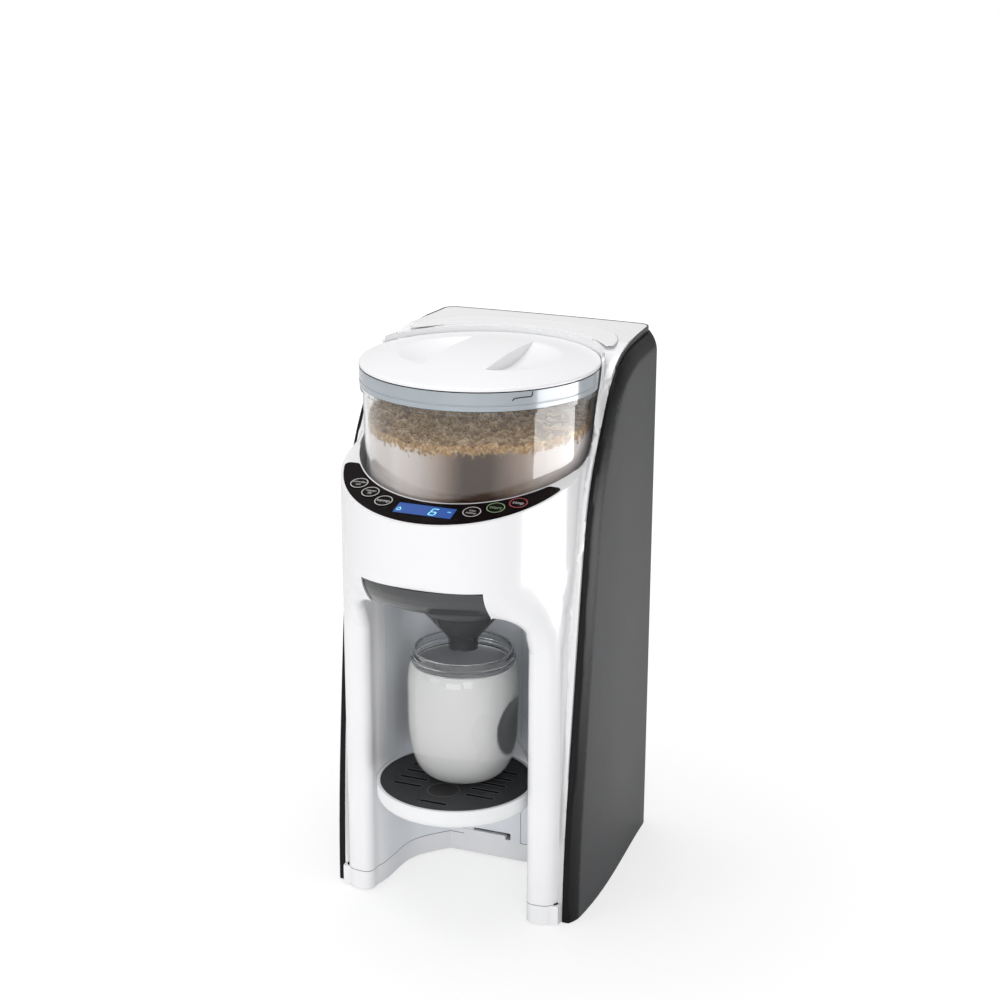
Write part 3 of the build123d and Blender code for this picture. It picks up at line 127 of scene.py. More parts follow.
def rangeNode(nt, value, limits, kind="LINEAR"):
    node = nt.nodes.new("ShaderNodeMapRange")
    node.interpolation_type = kind
    setInputs(node, limits)
    nt.links.new(value, node.inputs["Value"])
    return node.outputs[0]


def seenDirectly(nt):
    # 1 for what the camera sees, straight or through clear plastic, and 0 for what lights the object
    rays = nt.nodes.new("ShaderNodeLightPath").outputs
    return mathNode(nt, "MAXIMUM", rays["Is Camera Ray"], rays["Is Transmission Ray"])


def makeWorld():
    world = bpy.data.worlds.new("studio")
    bpy.context.scene.world = world
    world.use_nodes = True
    nt = world.node_tree
    background = nt.nodes["Background"]
    background.inputs["Color"].default_value = (1, 1, 1, 1)
    level = rangeNode(nt, seenDirectly(nt), {"To Min": studio["worldLight"], "To Max": studio["worldSeen"]})
    nt.links.new(level, background.inputs["Strength"])


def makeFloor():
    # near the object part of the floor's own shade shows, with the shadow in it; further out it only glows
    half = studio["floorHalf"]
    mesh = bpy.data.meshes.new("floor")
    corners = [(-half, -half, 0), (half, -half, 0), (half, half, 0), (-half, half, 0)]
    mesh.from_pydata(corners, [], [(0, 1, 2, 3)])
    floor = newObject("floor", mesh)
    mat = bpy.data.materials.new("paleFloor")
    mat.use_nodes = True
    nt = mat.node_tree
    nt.nodes.clear()
    out = nt.nodes.new("ShaderNodeOutputMaterial")
    diffuse = nt.nodes.new("ShaderNodeBsdfDiffuse")
    diffuse.inputs["Color"].default_value = (*[studio["floorColour"]] * 3, 1)
    glow = nt.nodes.new("ShaderNodeEmission")
    glow.inputs["Strength"].default_value = studio["floorGlow"]
    away = nt.nodes.new("ShaderNodeVectorMath")
    away.operation = "LENGTH"
    nt.links.new(nt.nodes.new("ShaderNodeTexCoord").outputs["Object"], away.inputs[0])
    limits = {"From Min": studio["shadowFrom"], "From Max": studio["shadowReach"],
              "To Min": 1 - studio["shadowShare"]}
    level = rangeNode(nt, away.outputs["Value"], limits, "SMOOTHSTEP")
    mix = nt.nodes.new("ShaderNodeMixShader")
    nt.links.new(mathNode(nt, "MULTIPLY", seenDirectly(nt), level), mix.inputs[0])
    nt.links.new(diffuse.outputs[0], mix.inputs[1])
    nt.links.new(glow.outputs[0], mix.inputs[2])
    nt.links.new(mix.outputs[0], out.inputs["Surface"])
    mesh.materials.append(mat)


makeCamera()
makeLamps()
makeWorld()
makeFloor()
bpy.context.scene.view_settings.view_transform = "Standard"
print("camera, lamps and floor set")


mould = {"grainDetail": 2, "bump": 0.0002, "broadScale": 14, "roughChange": 0.06, "coatRoughness": 0.08}


def makeMouldGroup():
    # fine moulded grain: small noise on the normal, a broad faint change of tone and of roughness
    group = bpy.data.node_groups.new("mouldedFinish", "ShaderNodeTree")
    for label, kind in (("Colour", "Color"), ("Roughness", "Float"), ("Grain Size", "Float"),
                        ("Grain Depth", "Float"), ("Tone Change", "Float")):
        group.interface.new_socket(label, in_out="INPUT", socket_type="NodeSocket" + kind)
    for label, kind in (("Colour", "Color"), ("Roughness", "Float"), ("Normal", "Vector")):
        group.interface.new_socket(label, in_out="OUTPUT", socket_type="NodeSocket" + kind)
    n, l = group.nodes, group.links
    gin, gout = n.new("NodeGroupInput"), n.new("NodeGroupOutput")
    tc = n.new("ShaderNodeTexCoord")
    fine = n.new("ShaderNodeTexNoise")
    l.new(tc.outputs["Object"], fine.inputs["Vector"])
    l.new(gin.outputs["Grain Size"], fine.inputs["Scale"])
    fine.inputs["Detail"].default_value = mould["grainDetail"]
    bump = n.new("ShaderNodeBump")
    bump.inputs["Distance"].default_value = mould["bump"]
    l.new(gin.outputs["Grain Depth"], bump.inputs["Strength"])
    l.new(fine.outputs["Fac"], bump.inputs["Height"])
    broad = n.new("ShaderNodeTexNoise")
    l.new(tc.outputs["Object"], broad.inputs["Vector"])
    broad.inputs["Scale"].default_value = mould["broadScale"]
    shift = mathNode(group, "SUBTRACT", broad.outputs["Fac"], 0.5)
    scaled = n.new("ShaderNodeVectorMath")
    scaled.operation = "SCALE"
    l.new(gin.outputs["Colour"], scaled.inputs[0])
    l.new(mathNode(group, "MULTIPLY_ADD", shift, gin.outputs["Tone Change"], 1.0), scaled.inputs["Scale"])
    rough = mathNode(group, "MULTIPLY_ADD", shift, mould["roughChange"], gin.outputs["Roughness"])
    l.new(scaled.outputs[0], gout.inputs["Colour"])
    l.new(rough, gout.inputs["Roughness"])
    l.new(bump.outputs["Normal"], gout.inputs["Normal"])
    return group


mouldGroup = makeMouldGroup()


def plastic(name, colour, roughness=0.3, grain=900.0, depth=0.03, tone=0.04, coat=0.0, metallic=0.0,
            glass=0.0, ior=1.46, gloss=0.5):
    mat = bpy.data.materials.new(name)
    mat.use_nodes = True
    nt = mat.node_tree
    bsdf = nt.nodes["Principled BSDF"]
    g = nt.nodes.new("ShaderNodeGroup")
    g.node_tree = mouldGroup
    setInputs(g, {"Colour": (*colour, 1), "Roughness": roughness, "Grain Size": grain, "Grain Depth": depth,
                  "Tone Change": tone})
    nt.links.new(g.outputs["Colour"], bsdf.inputs["Base Color"])
    nt.links.new(g.outputs["Roughness"], bsdf.inputs["Roughness"])
    nt.links.new(g.outputs["Normal"], bsdf.inputs["Normal"])
    setInputs(bsdf, {"Coat Weight": coat, "Coat Roughness": mould["coatRoughness"], "Metallic": metallic,
                     "Transmission Weight": glass, "IOR": ior, "Specular IOR Level": gloss})
    return mat


mats = {
    "white_plastic": plastic("whiteGloss", (0.87, 0.87, 0.885), 0.2, coat=0.3),
    "lid_plastic": plastic("lidWhite", (0.87, 0.87, 0.885), 0.3),
    "liner_plastic": plastic("linerWhite", (0.84, 0.865, 0.9), 0.4),
    "grey_plastic": plastic("greyMoulded", (0.2, 0.21, 0.22), 0.5),
    "panel_plastic": plastic("panelBlack", (0.007, 0.0045, 0.005), 0.25, gloss=0.04),
    "button_plastic": plastic("buttonBlack", (0.006, 0.0045, 0.005), 0.3, gloss=0.04),
    "board_green": plastic("boardGreen", (0.02, 0.12, 0.05), 0.5),
    "heater_steel": plastic("heaterSteel", (0.5, 0.5, 0.5), 0.35, metallic=1.0),
    "gear_steel": plastic("gearSteel", (0.45, 0.45, 0.47), 0.35, metallic=1.0),
    "motor_steel": plastic("motorSteel", (0.4, 0.4, 0.42), 0.4, metallic=1.0),
    "screw_steel": plastic("screwSteel", (0.5, 0.5, 0.52), 0.3, metallic=1.0),
    "pinion_brass": plastic("pinionBrass", (0.6, 0.42, 0.16), 0.3, metallic=1.0),
    "tube_rubber": plastic("tubeSilicone", (0.6, 0.6, 0.57), 0.5),
    "feet_rubber": plastic("feetRubber", (0.02, 0.02, 0.02), 0.7),
    "seal_rubber": plastic("sealSilicone", (0.7, 0.7, 0.7), 0.5),
    "black_plastic": plastic("blackMatte", (0.015, 0.015, 0.015), 0.5),
    "wheel_plastic": plastic("wheelWhite", (0.8, 0.8, 0.8), 0.4),
    "gear_plastic": plastic("gearCream", (0.8, 0.76, 0.62), 0.4),
    "tray_plastic": plastic("trayWhite", (0.85, 0.855, 0.87), 0.25, coat=0.2),
    "tray_dark": plastic("trayDark", (0.024, 0.0255, 0.028), 0.5),
}


def rampNode(nt, factor, stops):
    # stops: place and colour, lowest first
    node = nt.nodes.new("ShaderNodeValToRGB")
    elements = node.color_ramp.elements
    while len(elements) < len(stops):
        elements.new(0.5)
    for element, (at, colour) in zip(elements, stops):
        element.position = at
        element.color = (*colour, 1)
    nt.links.new(factor, node.inputs["Fac"])
    return node.outputs["Color"]


def mixColours(nt, factor, first, second):
    # first where the factor is 0, second where it is 1; the second may be a plain colour
    mix = nt.nodes.new("ShaderNodeMix")
    mix.data_type = "RGBA"
    nt.links.new(factor, mix.inputs["Factor"])
    nt.links.new(first, mix.inputs["A"])
    if isinstance(second, tuple):
        mix.inputs["B"].default_value = (*second, 1)
    else:
        nt.links.new(second, mix.inputs["B"])
    return mix.outputs["Result"]


def attributeNode(nt, name):
    node = nt.nodes.new("ShaderNodeAttribute")
    node.attribute_name = name
    return node.outputs["Fac"]


clear = {"ior": 1.5, "facingBlend": 0.5, "edgeTo": 0.985}


def clearPlastic(name, tint, edge, edgeFrom, roughness=0.02, glass=1.0, gloss=0.5, coat=0.0):
    # towards the silhouette the tint turns to the edge colour: mostly painted dark reflection and refraction at
    # the edges, with some deeper tint where thicker plastic is seen through
    mat = plastic(name, tint, roughness, depth=0.0, tone=0.0, coat=coat, glass=glass, ior=clear["ior"],
                  gloss=gloss)
    nt = mat.node_tree
    facing = nt.nodes.new("ShaderNodeLayerWeight")
    facing.inputs["Blend"].default_value = clear["facingBlend"]
    ramp = rampNode(nt, facing.outputs["Facing"], [(edgeFrom, tint), (clear["edgeTo"], edge)])
    nt.links.new(ramp, nt.nodes["Principled BSDF"].inputs["Base Color"])
    return mat


mats["clear_plastic"] = clearPlastic("clearTub", (0.97, 0.97, 0.97), (0.03, 0.03, 0.035), 0.78, gloss=0.2)
mats["bottle_clear"] = clearPlastic("bottleClear", (0.97, 0.98, 0.98), (0.04, 0.04, 0.045), 0.74)
mats["smoke_plastic"] = clearPlastic("smokeClear", (0.085, 0.087, 0.09), (0.03, 0.03, 0.03), 0.9, 0.1, glass=0.3)
mats["tank_clear"] = clearPlastic("tankSmoke", (0.5, 0.52, 0.55), (0.2, 0.2, 0.22), 0.85, 0.06, glass=0.85)
mats["frosted_plastic"] = clearPlastic("frostedBlue", (0.52, 0.58, 0.63), (0.36, 0.41, 0.45), 0.9, 0.2,
                                       glass=0.35, coat=0.8)

# the edge colour is painted dark reflection on the rolled edge
shell = {"rollReflectionColour": (0.004, 0.0042, 0.005), "turnFrom": 0.05, "turnTo": 0.24}


def darkShell():
    # satin charcoal skin, with painted dark reflection: black where the edge rolls to the front and to the top
    mat = plastic("darkShell", (0.06, 0.062, 0.065), 0.42, gloss=0.2)
    nt = mat.node_tree
    base = nt.nodes["Principled BSDF"].inputs["Base Color"]
    axes = nt.nodes.new("ShaderNodeSeparateXYZ")
    nt.links.new(nt.nodes.new("ShaderNodeTexCoord").outputs["Normal"], axes.inputs[0])
    forward = mathNode(nt, "MULTIPLY", axes.outputs["Y"], -1.0)
    facing = mathNode(nt, "MAXIMUM", forward, axes.outputs["Z"])
    share = rangeNode(nt, facing, {"From Min": shell["turnFrom"], "From Max": shell["turnTo"]}, "SMOOTHSTEP")
    nt.links.new(mixColours(nt, share, base.links[0].from_socket, shell["rollReflectionColour"]), base)
    return mat


mats["dark_plastic"] = darkShell()

powderLook = {"grains": [(0.24, (0.11, 0.048, 0.012)), (0.47, (0.44, 0.255, 0.095)), (0.72, (0.85, 0.68, 0.42))],
              "packed": [(0.0, (0.06, 0.028, 0.012)), (0.45, (0.42, 0.33, 0.275)), (1.0, (0.93, 0.88, 0.86))],
              "fineScale": 620, "fineDetail": 3, "fineShare": 0.6}


def powderMat():
    # loose: cream to brown by how high a clump stands; packed at the wall: pinkish, in upright streaks, with
    # painted reflection: darker in a band at the front, lighter towards the sides
    mat = plastic("milkPowder", (0.6, 0.5, 0.42), 0.9, grain=700, depth=0.5, tone=0.1)
    nt = mat.node_tree
    fine = nt.nodes.new("ShaderNodeTexNoise")
    setInputs(fine, {"Scale": powderLook["fineScale"], "Detail": powderLook["fineDetail"]})
    nt.links.new(nt.nodes.new("ShaderNodeTexCoord").outputs["Object"], fine.inputs["Vector"])
    both = nt.nodes.new("ShaderNodeMix")
    both.inputs["Factor"].default_value = powderLook["fineShare"]
    nt.links.new(attributeNode(nt, "clump"), both.inputs["A"])
    nt.links.new(fine.outputs["Fac"], both.inputs["B"])
    grains = rampNode(nt, both.outputs["Result"], powderLook["grains"])
    packed = rampNode(nt, attributeNode(nt, "streakAndSheen"), powderLook["packed"])
    colour = mixColours(nt, attributeNode(nt, "loose"), packed, grains)
    nt.links.new(colour, nt.nodes["Principled BSDF"].inputs["Base Color"])
    return mat


mats["powder"] = powderMat()


def glowing(name, colour, glow, strength, roughness=0.15):
    mat = plastic(name, colour, roughness, depth=0.0)
    bsdf = mat.node_tree.nodes["Principled BSDF"]
    setInputs(bsdf, {"Emission Color": (*glow, 1), "Emission Strength": strength})
    return mat


mats["display_glass"] = glowing("displayBlue", (0.008, 0.03, 0.12), (0.018, 0.085, 0.36), 0.72, 0.3)


def milkMat():
    # white, with painted shade: grey on the pressed-in grips, and grey where it stands open inside the neck
    mat = plastic("milk", (0.86, 0.86, 0.855), 0.28, depth=0.0)
    nt = mat.node_tree
    base = nt.nodes["Principled BSDF"].inputs["Base Color"]
    for label, colour in (("pressedShade", (0.2, 0.2, 0.205)), ("open", (0.4, 0.41, 0.43))):
        nt.links.new(mixColours(nt, attributeNode(nt, label), base.links[0].from_socket, colour), base)
    return mat


mats["milk"] = milkMat()
digitMat = glowing("digitCyan", (0.2, 0.55, 0.7), (0.3, 0.8, 0.95), 0.75, 0.4)
printMats = {
    "grey": plastic("printGrey", (0.62, 0.6, 0.58), 0.45),
    "green": plastic("printGreen", (0.3, 0.45, 0.25), 0.45),
    "red": plastic("printRed", (0.5, 0.1, 0.11), 0.45),
    "line": plastic("lineDark", (0.05, 0.055, 0.06), 0.6, gloss=0.1),
    "shadowLine": plastic("lineBlack", (0.004, 0.004, 0.005), 0.9, gloss=0.0),
    # slot rims: a lighter grey, painted highlight
    "slotRimHighlight": plastic("slotRimHighlight", (0.075, 0.078, 0.084), 0.35),
    # lid plate: a greyer white, painted shade
    "deckLidShade": plastic("deckLidShade", (0.8, 0.8, 0.805), 0.4),
    "groove": plastic("grooveGrey", (0.4, 0.4, 0.41), 0.5),
    "darkRim": plastic("darkRim", (0.009, 0.0095, 0.011), 0.35),
}
slotOf = {s["node"]: s["material_slot"] for s in frame["record"]["subparts"]}
bodyOf = {n: b for b, ns in frame["record"]["behaviour"]["bodies"].items() for n in ns}
for name, obj in nodes.items():
    obj.data.materials.clear()
    obj.data.materials.append(mats[slotOf[name]])
print("materials made:", len(mats) + len(printMats) + 1)


def finishPiece(obj, mat, body, replaced=()):
    obj.data.materials.clear()
    obj.data.materials.append(mat)
    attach(obj, body)
    if replaced:
        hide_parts(*replaced)


copies = {"angle": 28.0, "flat": 0.05, "weld": 0.00001, "flatWeight": 100, "unflattened": ["funnel"],
          "nodes": ["front_housing", "bay_liner", "rear_shell", "base_ring", "powder_container", "funnel",
                    "tray_dish", "tray_insert", "control_panel", "lcd_display", "water_tank", "tank_lid",
                    "slot_plate", *["button_%d" % (i + 1) for i in range(6)]]}


def smoothCopy(node):
    # the node's triangles merged at their shared corners, shaded as one surface with the large faces kept flat
    label = node.title().replace("_", "")
    mesh = nodes[node].data.copy()
    mesh.name = label
    obj = newObject(label, mesh)
    bm = bmesh.new()
    bm.from_mesh(mesh)
    bmesh.ops.remove_doubles(bm, verts=bm.verts, dist=copies["weld"])
    if node not in copies["unflattened"]:   # the triangles of each flat face become one polygon
        bmesh.ops.dissolve_limit(bm, angle_limit=radians(copies["flat"]), verts=bm.verts, edges=bm.edges)
    bm.to_mesh(mesh)
    bm.free()
    mesh.shade_smooth()
    mesh.set_sharp_from_angle(angle=radians(copies["angle"]))
    even = obj.modifiers.new("evenNormals", "WEIGHTED_NORMAL")
    even.mode = "FACE_AREA"
    even.weight = copies["flatWeight"]
    even.keep_sharp = True
    finishPiece(obj, mats[slotOf[node]], bodyOf[node], [node])


for node in copies["nodes"]:
    smoothCopy(node)
print("smooth copies made:", len(copies["nodes"]))

welded = {"near": 0.000002, "thin": 0.000001, "barSink": 0.15}   # metres, and a share of a bar's height


def xyz(x, y, z):
    # points with those coordinates, spread over one grid
    return np.stack(np.broadcast_arrays(x, y, z), axis=-1)


def surface(name, points, wrapU=False, wrapV=False):
    # a face between each four neighbours of a grid of points in mm; a wrapped side joins its two ends
    nu, nv = points.shape[:2]
    index = np.arange(nu * nv).reshape(nu, nv)
    iu = np.arange(nu if wrapU else nu - 1)
    iv = np.arange(nv if wrapV else nv - 1)
    ju, jv = (iu + 1) % nu, (iv + 1) % nv
    corners = [index[np.ix_(iu, iv)], index[np.ix_(ju, iv)], index[np.ix_(ju, jv)], index[np.ix_(iu, jv)]]
    quads = np.stack(corners, axis=-1).reshape(-1, 4)
    mesh = bpy.data.meshes.new(name)
    mesh.from_pydata((points.reshape(-1, 3) * mm).tolist(), [], quads.tolist())
    mesh.update()
    return newObject(name, mesh)


def weld(obj, smooth=True, angle=40.0):
    # doubled points at poles and ends are merged, and the faces turned outwards
    bm = bmesh.new()
    bm.from_mesh(obj.data)
    bmesh.ops.remove_doubles(bm, verts=bm.verts, dist=welded["near"])
    bmesh.ops.dissolve_degenerate(bm, edges=bm.edges, dist=welded["thin"])
    bmesh.ops.recalc_face_normals(bm, faces=bm.faces)
    bm.to_mesh(obj.data)
    bm.free()
    if smooth:
        obj.data.shade_smooth()
        obj.data.set_sharp_from_angle(angle=radians(angle))
    return obj


def capped(obj, sides):
    # the open ends closed, each with one face of up to that many sides
    bm = bmesh.new()
    bm.from_mesh(obj.data)
    bmesh.ops.holes_fill(bm, edges=[e for e in bm.edges if e.is_boundary], sides=sides)
    bm.to_mesh(obj.data)
    bm.free()
    return obj


def fullTurn(steps):
    return np.linspace(0, 2 * pi, steps, endpoint=False)


def turned(profile, centre, steps):
    # a profile of (radius, height) rows carried round the upright axis through centre
    turn = fullTurn(steps)[:, None]
    radius, height = profile.T[:, None]
    x, y = centre[0] + radius * np.sin(turn), centre[1] - radius * np.cos(turn)
    return xyz(x, y, height)


def carried(name, path, up, width, height, closed=False):
    # a flat bar of that width along a path, its base just under the path and its top raised by height along up
    after = np.roll(path, -1, axis=0) if closed else np.vstack([path[1:], path[-1:]])
    before = np.roll(path, 1, axis=0) if closed else np.vstack([path[:1], path[:-1]])
    side = np.cross(after - before, up)
    side /= np.linalg.norm(side, axis=1, keepdims=True)
    half = side * width / 2
    rise = up * height
    sink = -up * welded["barSink"] * height
    ring = np.stack([path - half + sink, path + half + sink, path + half + rise, path - half + rise], axis=1)
    obj = surface(name, ring, wrapU=closed, wrapV=True)
    if not closed:
        capped(obj, 4)
    return weld(obj, smooth=False)


def joined(name, objs):
    # one piece from several
    bm = bmesh.new()
    for mesh in [o.data for o in objs]:
        bm.from_mesh(mesh)
        bpy.data.meshes.remove(mesh)   # its object goes with it
    mesh = bpy.data.meshes.new(name)
    bm.to_mesh(mesh)   # smooth faces and sharp edges come along
    bm.free()
    return newObject(name, mesh)


def latticeNoise(x, y, cell, seed):
    # random levels on a square lattice of that cell, blended by 3t^2 - 2t^3 between its corners, from 0 to 1
    levels = np.random.default_rng(seed).random((256, 256))
    i, j = np.floor(x / cell).astype(int), np.floor(y / cell).astype(int)
    fx, fy = x / cell - i, y / cell - j
    sx, sy = fx * fx * (3 - 2 * fx), fy * fy * (3 - 2 * fy)
    at = lambda a, b: levels[a % 256, b % 256]
    front = at(i, j) * (1 - sx) + at(i + 1, j) * sx
    rear = at(i, j + 1) * (1 - sx) + at(i + 1, j + 1) * sx
    return front * (1 - sy) + rear * sy


def stored(obj, label, values):
    attribute = obj.data.attributes.new(label, "FLOAT", "POINT")
    attribute.data.foreach_set("value", values.astype(np.float32).ravel())


powder = {"axis": (0.0, -11.0), "floor": 271.6, "front": 315.3, "rear": 326.0,   # levels under and on top
          "footRadius": 68.95, "topRadius": 70.5, "footLevel": 258.3, "topLevel": 339.3,   # the wall around it
          "steps": 640, "rings": 110, "wallRows": 56, "ringBend": 0.8, "wallBend": 1.5, "seed": 5,
          "lumpCells": (4.2, 2.1, 1.1), "coarse": 1.7, "lumpShare": 1.1, "fine": 1.5,
          "swellCell": 30.0, "swell": 5.0, "clumpSpan": 3.4, "speckCells": (1.3, 2.7), "sideTone": (0.08, 0.72),
          "looseDepth": 8.5, "looseSpeck": 0.9, "looseGain": 4, "looseFrom": 0.9,
          "streakCells": (26.0, 7.0), "streakShares": (0.78, 0.22, 0.16, 0.1), "brownAt": 0.38, "brownHalf": 0.4}


def wallRadius(z):
    # the inside of the hopper's wall widens evenly from its foot to its top
    v = powder
    widening = (v["topRadius"] - v["footRadius"]) / (v["topLevel"] - v["footLevel"])
    return v["footRadius"] + widening * (z - v["footLevel"])


def makePowder():
    # the top's height = a plane that rises to the rear + lumps; the side drops from its rim down the wall
    v = powder
    turn = fullTurn(v["steps"])[:, None]
    share = np.linspace(0.0, 1.0, v["rings"])[None, :] ** v["ringBend"]
    rim = wallRadius((v["front"] + v["rear"]) / 2)
    x, y = rim * share * np.sin(turn), -rim * share * np.cos(turn)
    lumps, bits, crumbs = [latticeNoise(x, y, cell, v["seed"] + i) - 0.5
                           for i, cell in enumerate(v["lumpCells"])]
    swell = latticeNoise(x + 900, y + 900, v["swellCell"], v["seed"] + 3) - 0.5
    plane = v["front"] + (v["rear"] - v["front"]) * (y + rim) / (2 * rim)
    rough = v["coarse"] * (v["lumpShare"] * lumps + bits) + v["fine"] * crumbs
    top = plane + v["swell"] * swell + rough
    down = np.linspace(0, 1, v["wallRows"])[None, 1:] ** v["wallBend"]
    z = top[:, -1:] * (1 - down) + v["floor"] * down
    r = wallRadius(z)
    wallX, wallY = r * np.sin(turn), -r * np.cos(turn)
    centre = np.zeros((v["steps"], 1))
    px = np.concatenate([x, wallX, centre], axis=1) + v["axis"][0]
    py = np.concatenate([y, wallY, centre], axis=1) + v["axis"][1]
    pz = np.concatenate([top, z, centre + v["floor"]], axis=1)
    obj = surface("PowderFill", xyz(px, py, pz), wrapU=True)
    clump = np.clip(0.5 + rough / v["clumpSpan"], 0, 1)
    depth = np.concatenate([0 * share + 0 * turn, top[:, -1:] - z, centre + 99], axis=1)
    around = turn * rim + 300 + 0 * pz
    small, big = [latticeNoise(around, pz, cell, v["seed"] + i) for i, cell in enumerate(v["speckCells"], 4)]
    speck = 0.6 * small + 0.4 * big
    side = np.arange(pz.shape[1])[None, :] >= v["rings"]
    tone, gain = v["sideTone"]
    clump = np.where(side, tone + gain * speck, np.pad(clump, ((0, 0), (0, v["wallRows"])), mode="edge"))
    # crumbs thin out downwards in specks
    thinned = 1.0 - depth / v["looseDepth"] - v["looseSpeck"] * speck
    loose = np.clip(thinned * v["looseGain"] + v["looseFrom"], 0, 1)
    far = turn * 70 + 100
    slow, quick = [latticeNoise(far, 0 * turn, cell, v["seed"] + i) - 0.5
                   for i, cell in enumerate(v["streakCells"], 6)]
    aside = (turn - v["brownAt"] + pi) % (2 * pi) - pi
    paintedDarkBand = np.exp(-(aside / v["brownHalf"]) ** 2)   # painted dark reflection: the packed powder painted darker in a band at the front
    # painted reflection: lighter away from that band; the two noises add upright streaks of tone
    streakAndSheen = sum(share * part for share, part in zip(
        v["streakShares"], (1 - paintedDarkBand, np.clip(np.abs(aside) - 0.2, 0, 1), slow, quick)))
    streakAndSheen = np.clip(streakAndSheen, 0, 1) + 0 * pz
    for label, values in (("clump", clump), ("loose", loose), ("streakAndSheen", streakAndSheen)):
        stored(obj, label, values)
    weld(obj, angle=80)
    finishPiece(obj, mats["powder"], "container", ["powder_fill"])


makePowder()
print("powder made")

# the open line between the base ring and the body, filled dark: a black bar as painted shadow in the gap
seam = {"piece": "BaseRing", "level": 13.8,
        "section": ((0.06, 13.4), (0.8, 13.4), (0.8, 14.6), (0.06, 14.6)),   # inwards and level
        "longer": 0.05, "widest": 76.0, "near": 0.02, "levelFace": 0.95, "uprightFace": 0.4}


def makeSeamFill():
    # along each top edge of the ring's sides a small bar: out of sight but for the gap it stands in
    v = seam
    bm = bmesh.new()
    bm.from_mesh(bpy.data.objects[v["piece"]].data)
    bars = []
    for edge in bm.edges:
        a, b = [np.array(vert.co) / mm for vert in edge.verts]
        away = max(abs(a[2] - v["level"]), abs(b[2] - v["level"]))
        if away > v["near"] or max(abs(a[0]), abs(b[0])) > v["widest"] or len(edge.link_faces) != 2:
            continue
        wall, top = sorted([np.array(f.normal) for f in edge.link_faces], key=lambda n: n[2])
        if top[2] < v["levelFace"] or abs(wall[2]) > v["uprightFace"]:
            continue
        out = wall * [1, 1, 0]
        extra = (b - a) * v["longer"] / max(np.linalg.norm(b - a), v["longer"])
        ends = (a - extra, b + extra)
        bars.append([[[*(end - out * depth)[:2], z] for depth, z in v["section"]] for end in ends])
    bm.free()
    corners = np.array(bars).reshape(-1, 3)
    box = np.array([(0, 1, 2, 3), (7, 6, 5, 4), (0, 4, 5, 1), (1, 5, 6, 2), (2, 6, 7, 3), (3, 7, 4, 0)])
    quads = (np.arange(len(bars))[:, None, None] * 8 + box).reshape(-1, 4)
    mesh = bpy.data.meshes.new("SeamFill")
    mesh.from_pydata((corners * mm).tolist(), [], quads.tolist())
    fill = weld(newObject("SeamFill", mesh), smooth=False)
    finishPiece(fill, printMats["shadowLine"], "machine")
    return len(bars)


print("seam filled:", makeSeamFill(), "bars")

bottle = {"axis": (0.0, -38.5), "base": 85.55, "foot": 17.0, "radius": 36.0, "heel": 47.0, "heelBend": 2.6,
          "heelRows": 44, "heelSpread": 1.6, "shoulder": 61.0, "shoulderBend": 0.8, "collar": 77.0,
          "neck": 32.4, "height": 86.1, "wall": 2.0, "steps": 192,
          "beadAt": 78.6, "beadHeight": 2.8, "beadDepth": 1.3, "neckFrom": 77.4,
          "milk": 76.6, "milkFit": 0.25, "milkRim": 0.8, "milkBowl": 8.0, "gripEdge": (12, 0.6),
          "dimpleLevel": 123.0, "dimpleHalfTall": 20.5, "dimpleHalfWide": 19.5, "dimpleDepth": 4.2,
          "dimpleBend": 1.3, "dimpleBeyond": 20.0}


def bottleProfile(shrink, top):
    # (radius, height) rows, shrunk all round: heel x^n + z^n = 1, straight side, cosine and sine shoulder
    v = bottle
    radius, neck = v["radius"] - shrink, v["neck"] - shrink
    base = v["base"] + shrink
    rise = np.linspace(0, 1, v["heelRows"]) ** v["heelSpread"]
    foot = v["foot"] - shrink * 0.5
    heelX = foot + (radius - foot) * (1 - (1 - rise) ** v["heelBend"]) ** (1 / v["heelBend"])
    heelZ = base + (v["base"] + v["heel"] - base) * rise
    sideZ = np.linspace(v["base"] + v["heel"], v["base"] + v["shoulder"], 8)[1:]
    t = np.linspace(0, 1, 14)[1:]
    shoulderX = neck + (radius - neck) * np.cos(t * pi / 2) ** v["shoulderBend"]
    shoulderZ = v["base"] + v["shoulder"] + (v["collar"] - v["shoulder"]) * np.sin(t * pi / 2)
    rows = [(0.0, base), *zip(heelX, heelZ), *[(radius, z) for z in sideZ], *zip(shoulderX, shoulderZ)]
    return np.array([row for row in rows if row[1] <= v["base"] + top + 1e-6])


def dimpled(points):
    # each side is pressed in by depth * (1 - d^2)^1.3 inside an oval at the middle of the left and the right
    v = bottle
    x, y, z = points[..., 0] - v["axis"][0], points[..., 1] - v["axis"][1], points[..., 2]
    across = v["radius"] * np.arctan2(y, np.abs(x)) / v["dimpleHalfWide"]
    r = np.maximum(np.hypot(x, y), 1e-9)
    inside = np.clip(1 - across ** 2 - ((z - v["dimpleLevel"]) / v["dimpleHalfTall"]) ** 2, 0, 1)
    inside = np.where(r > v["dimpleBeyond"], inside, 0.0)
    share = 1 - v["dimpleDepth"] * inside ** v["dimpleBend"] / r
    return xyz(v["axis"][0] + x * share, v["axis"][1] + y * share, z), inside


def makeBottle():
    v = bottle
    top, half = v["base"] + v["height"], v["wall"] / 2
    bead = [(v["neck"] + v["beadDepth"] * sin(b), v["base"] + v["beadAt"] + v["beadHeight"] * (1 - cos(b)) / 2)
            for b in np.linspace(0, pi, 9)]
    lip = [(v["neck"] - half + half * cos(a), top - half + half * sin(a)) for a in np.linspace(0, pi, 7)]
    neckRows = [(v["neck"], v["base"] + v["neckFrom"]), *bead, *lip]
    inner = bottleProfile(v["wall"], v["collar"])[::-1]
    profile = np.vstack([bottleProfile(0.0, v["collar"]), neckRows, inner])
    glass = surface("Bottle", dimpled(turned(profile, v["axis"], v["steps"]))[0], wrapU=True)
    weld(glass, angle=50)
    finishPiece(glass, mats["bottle_clear"], "bottle", ["bottle"])


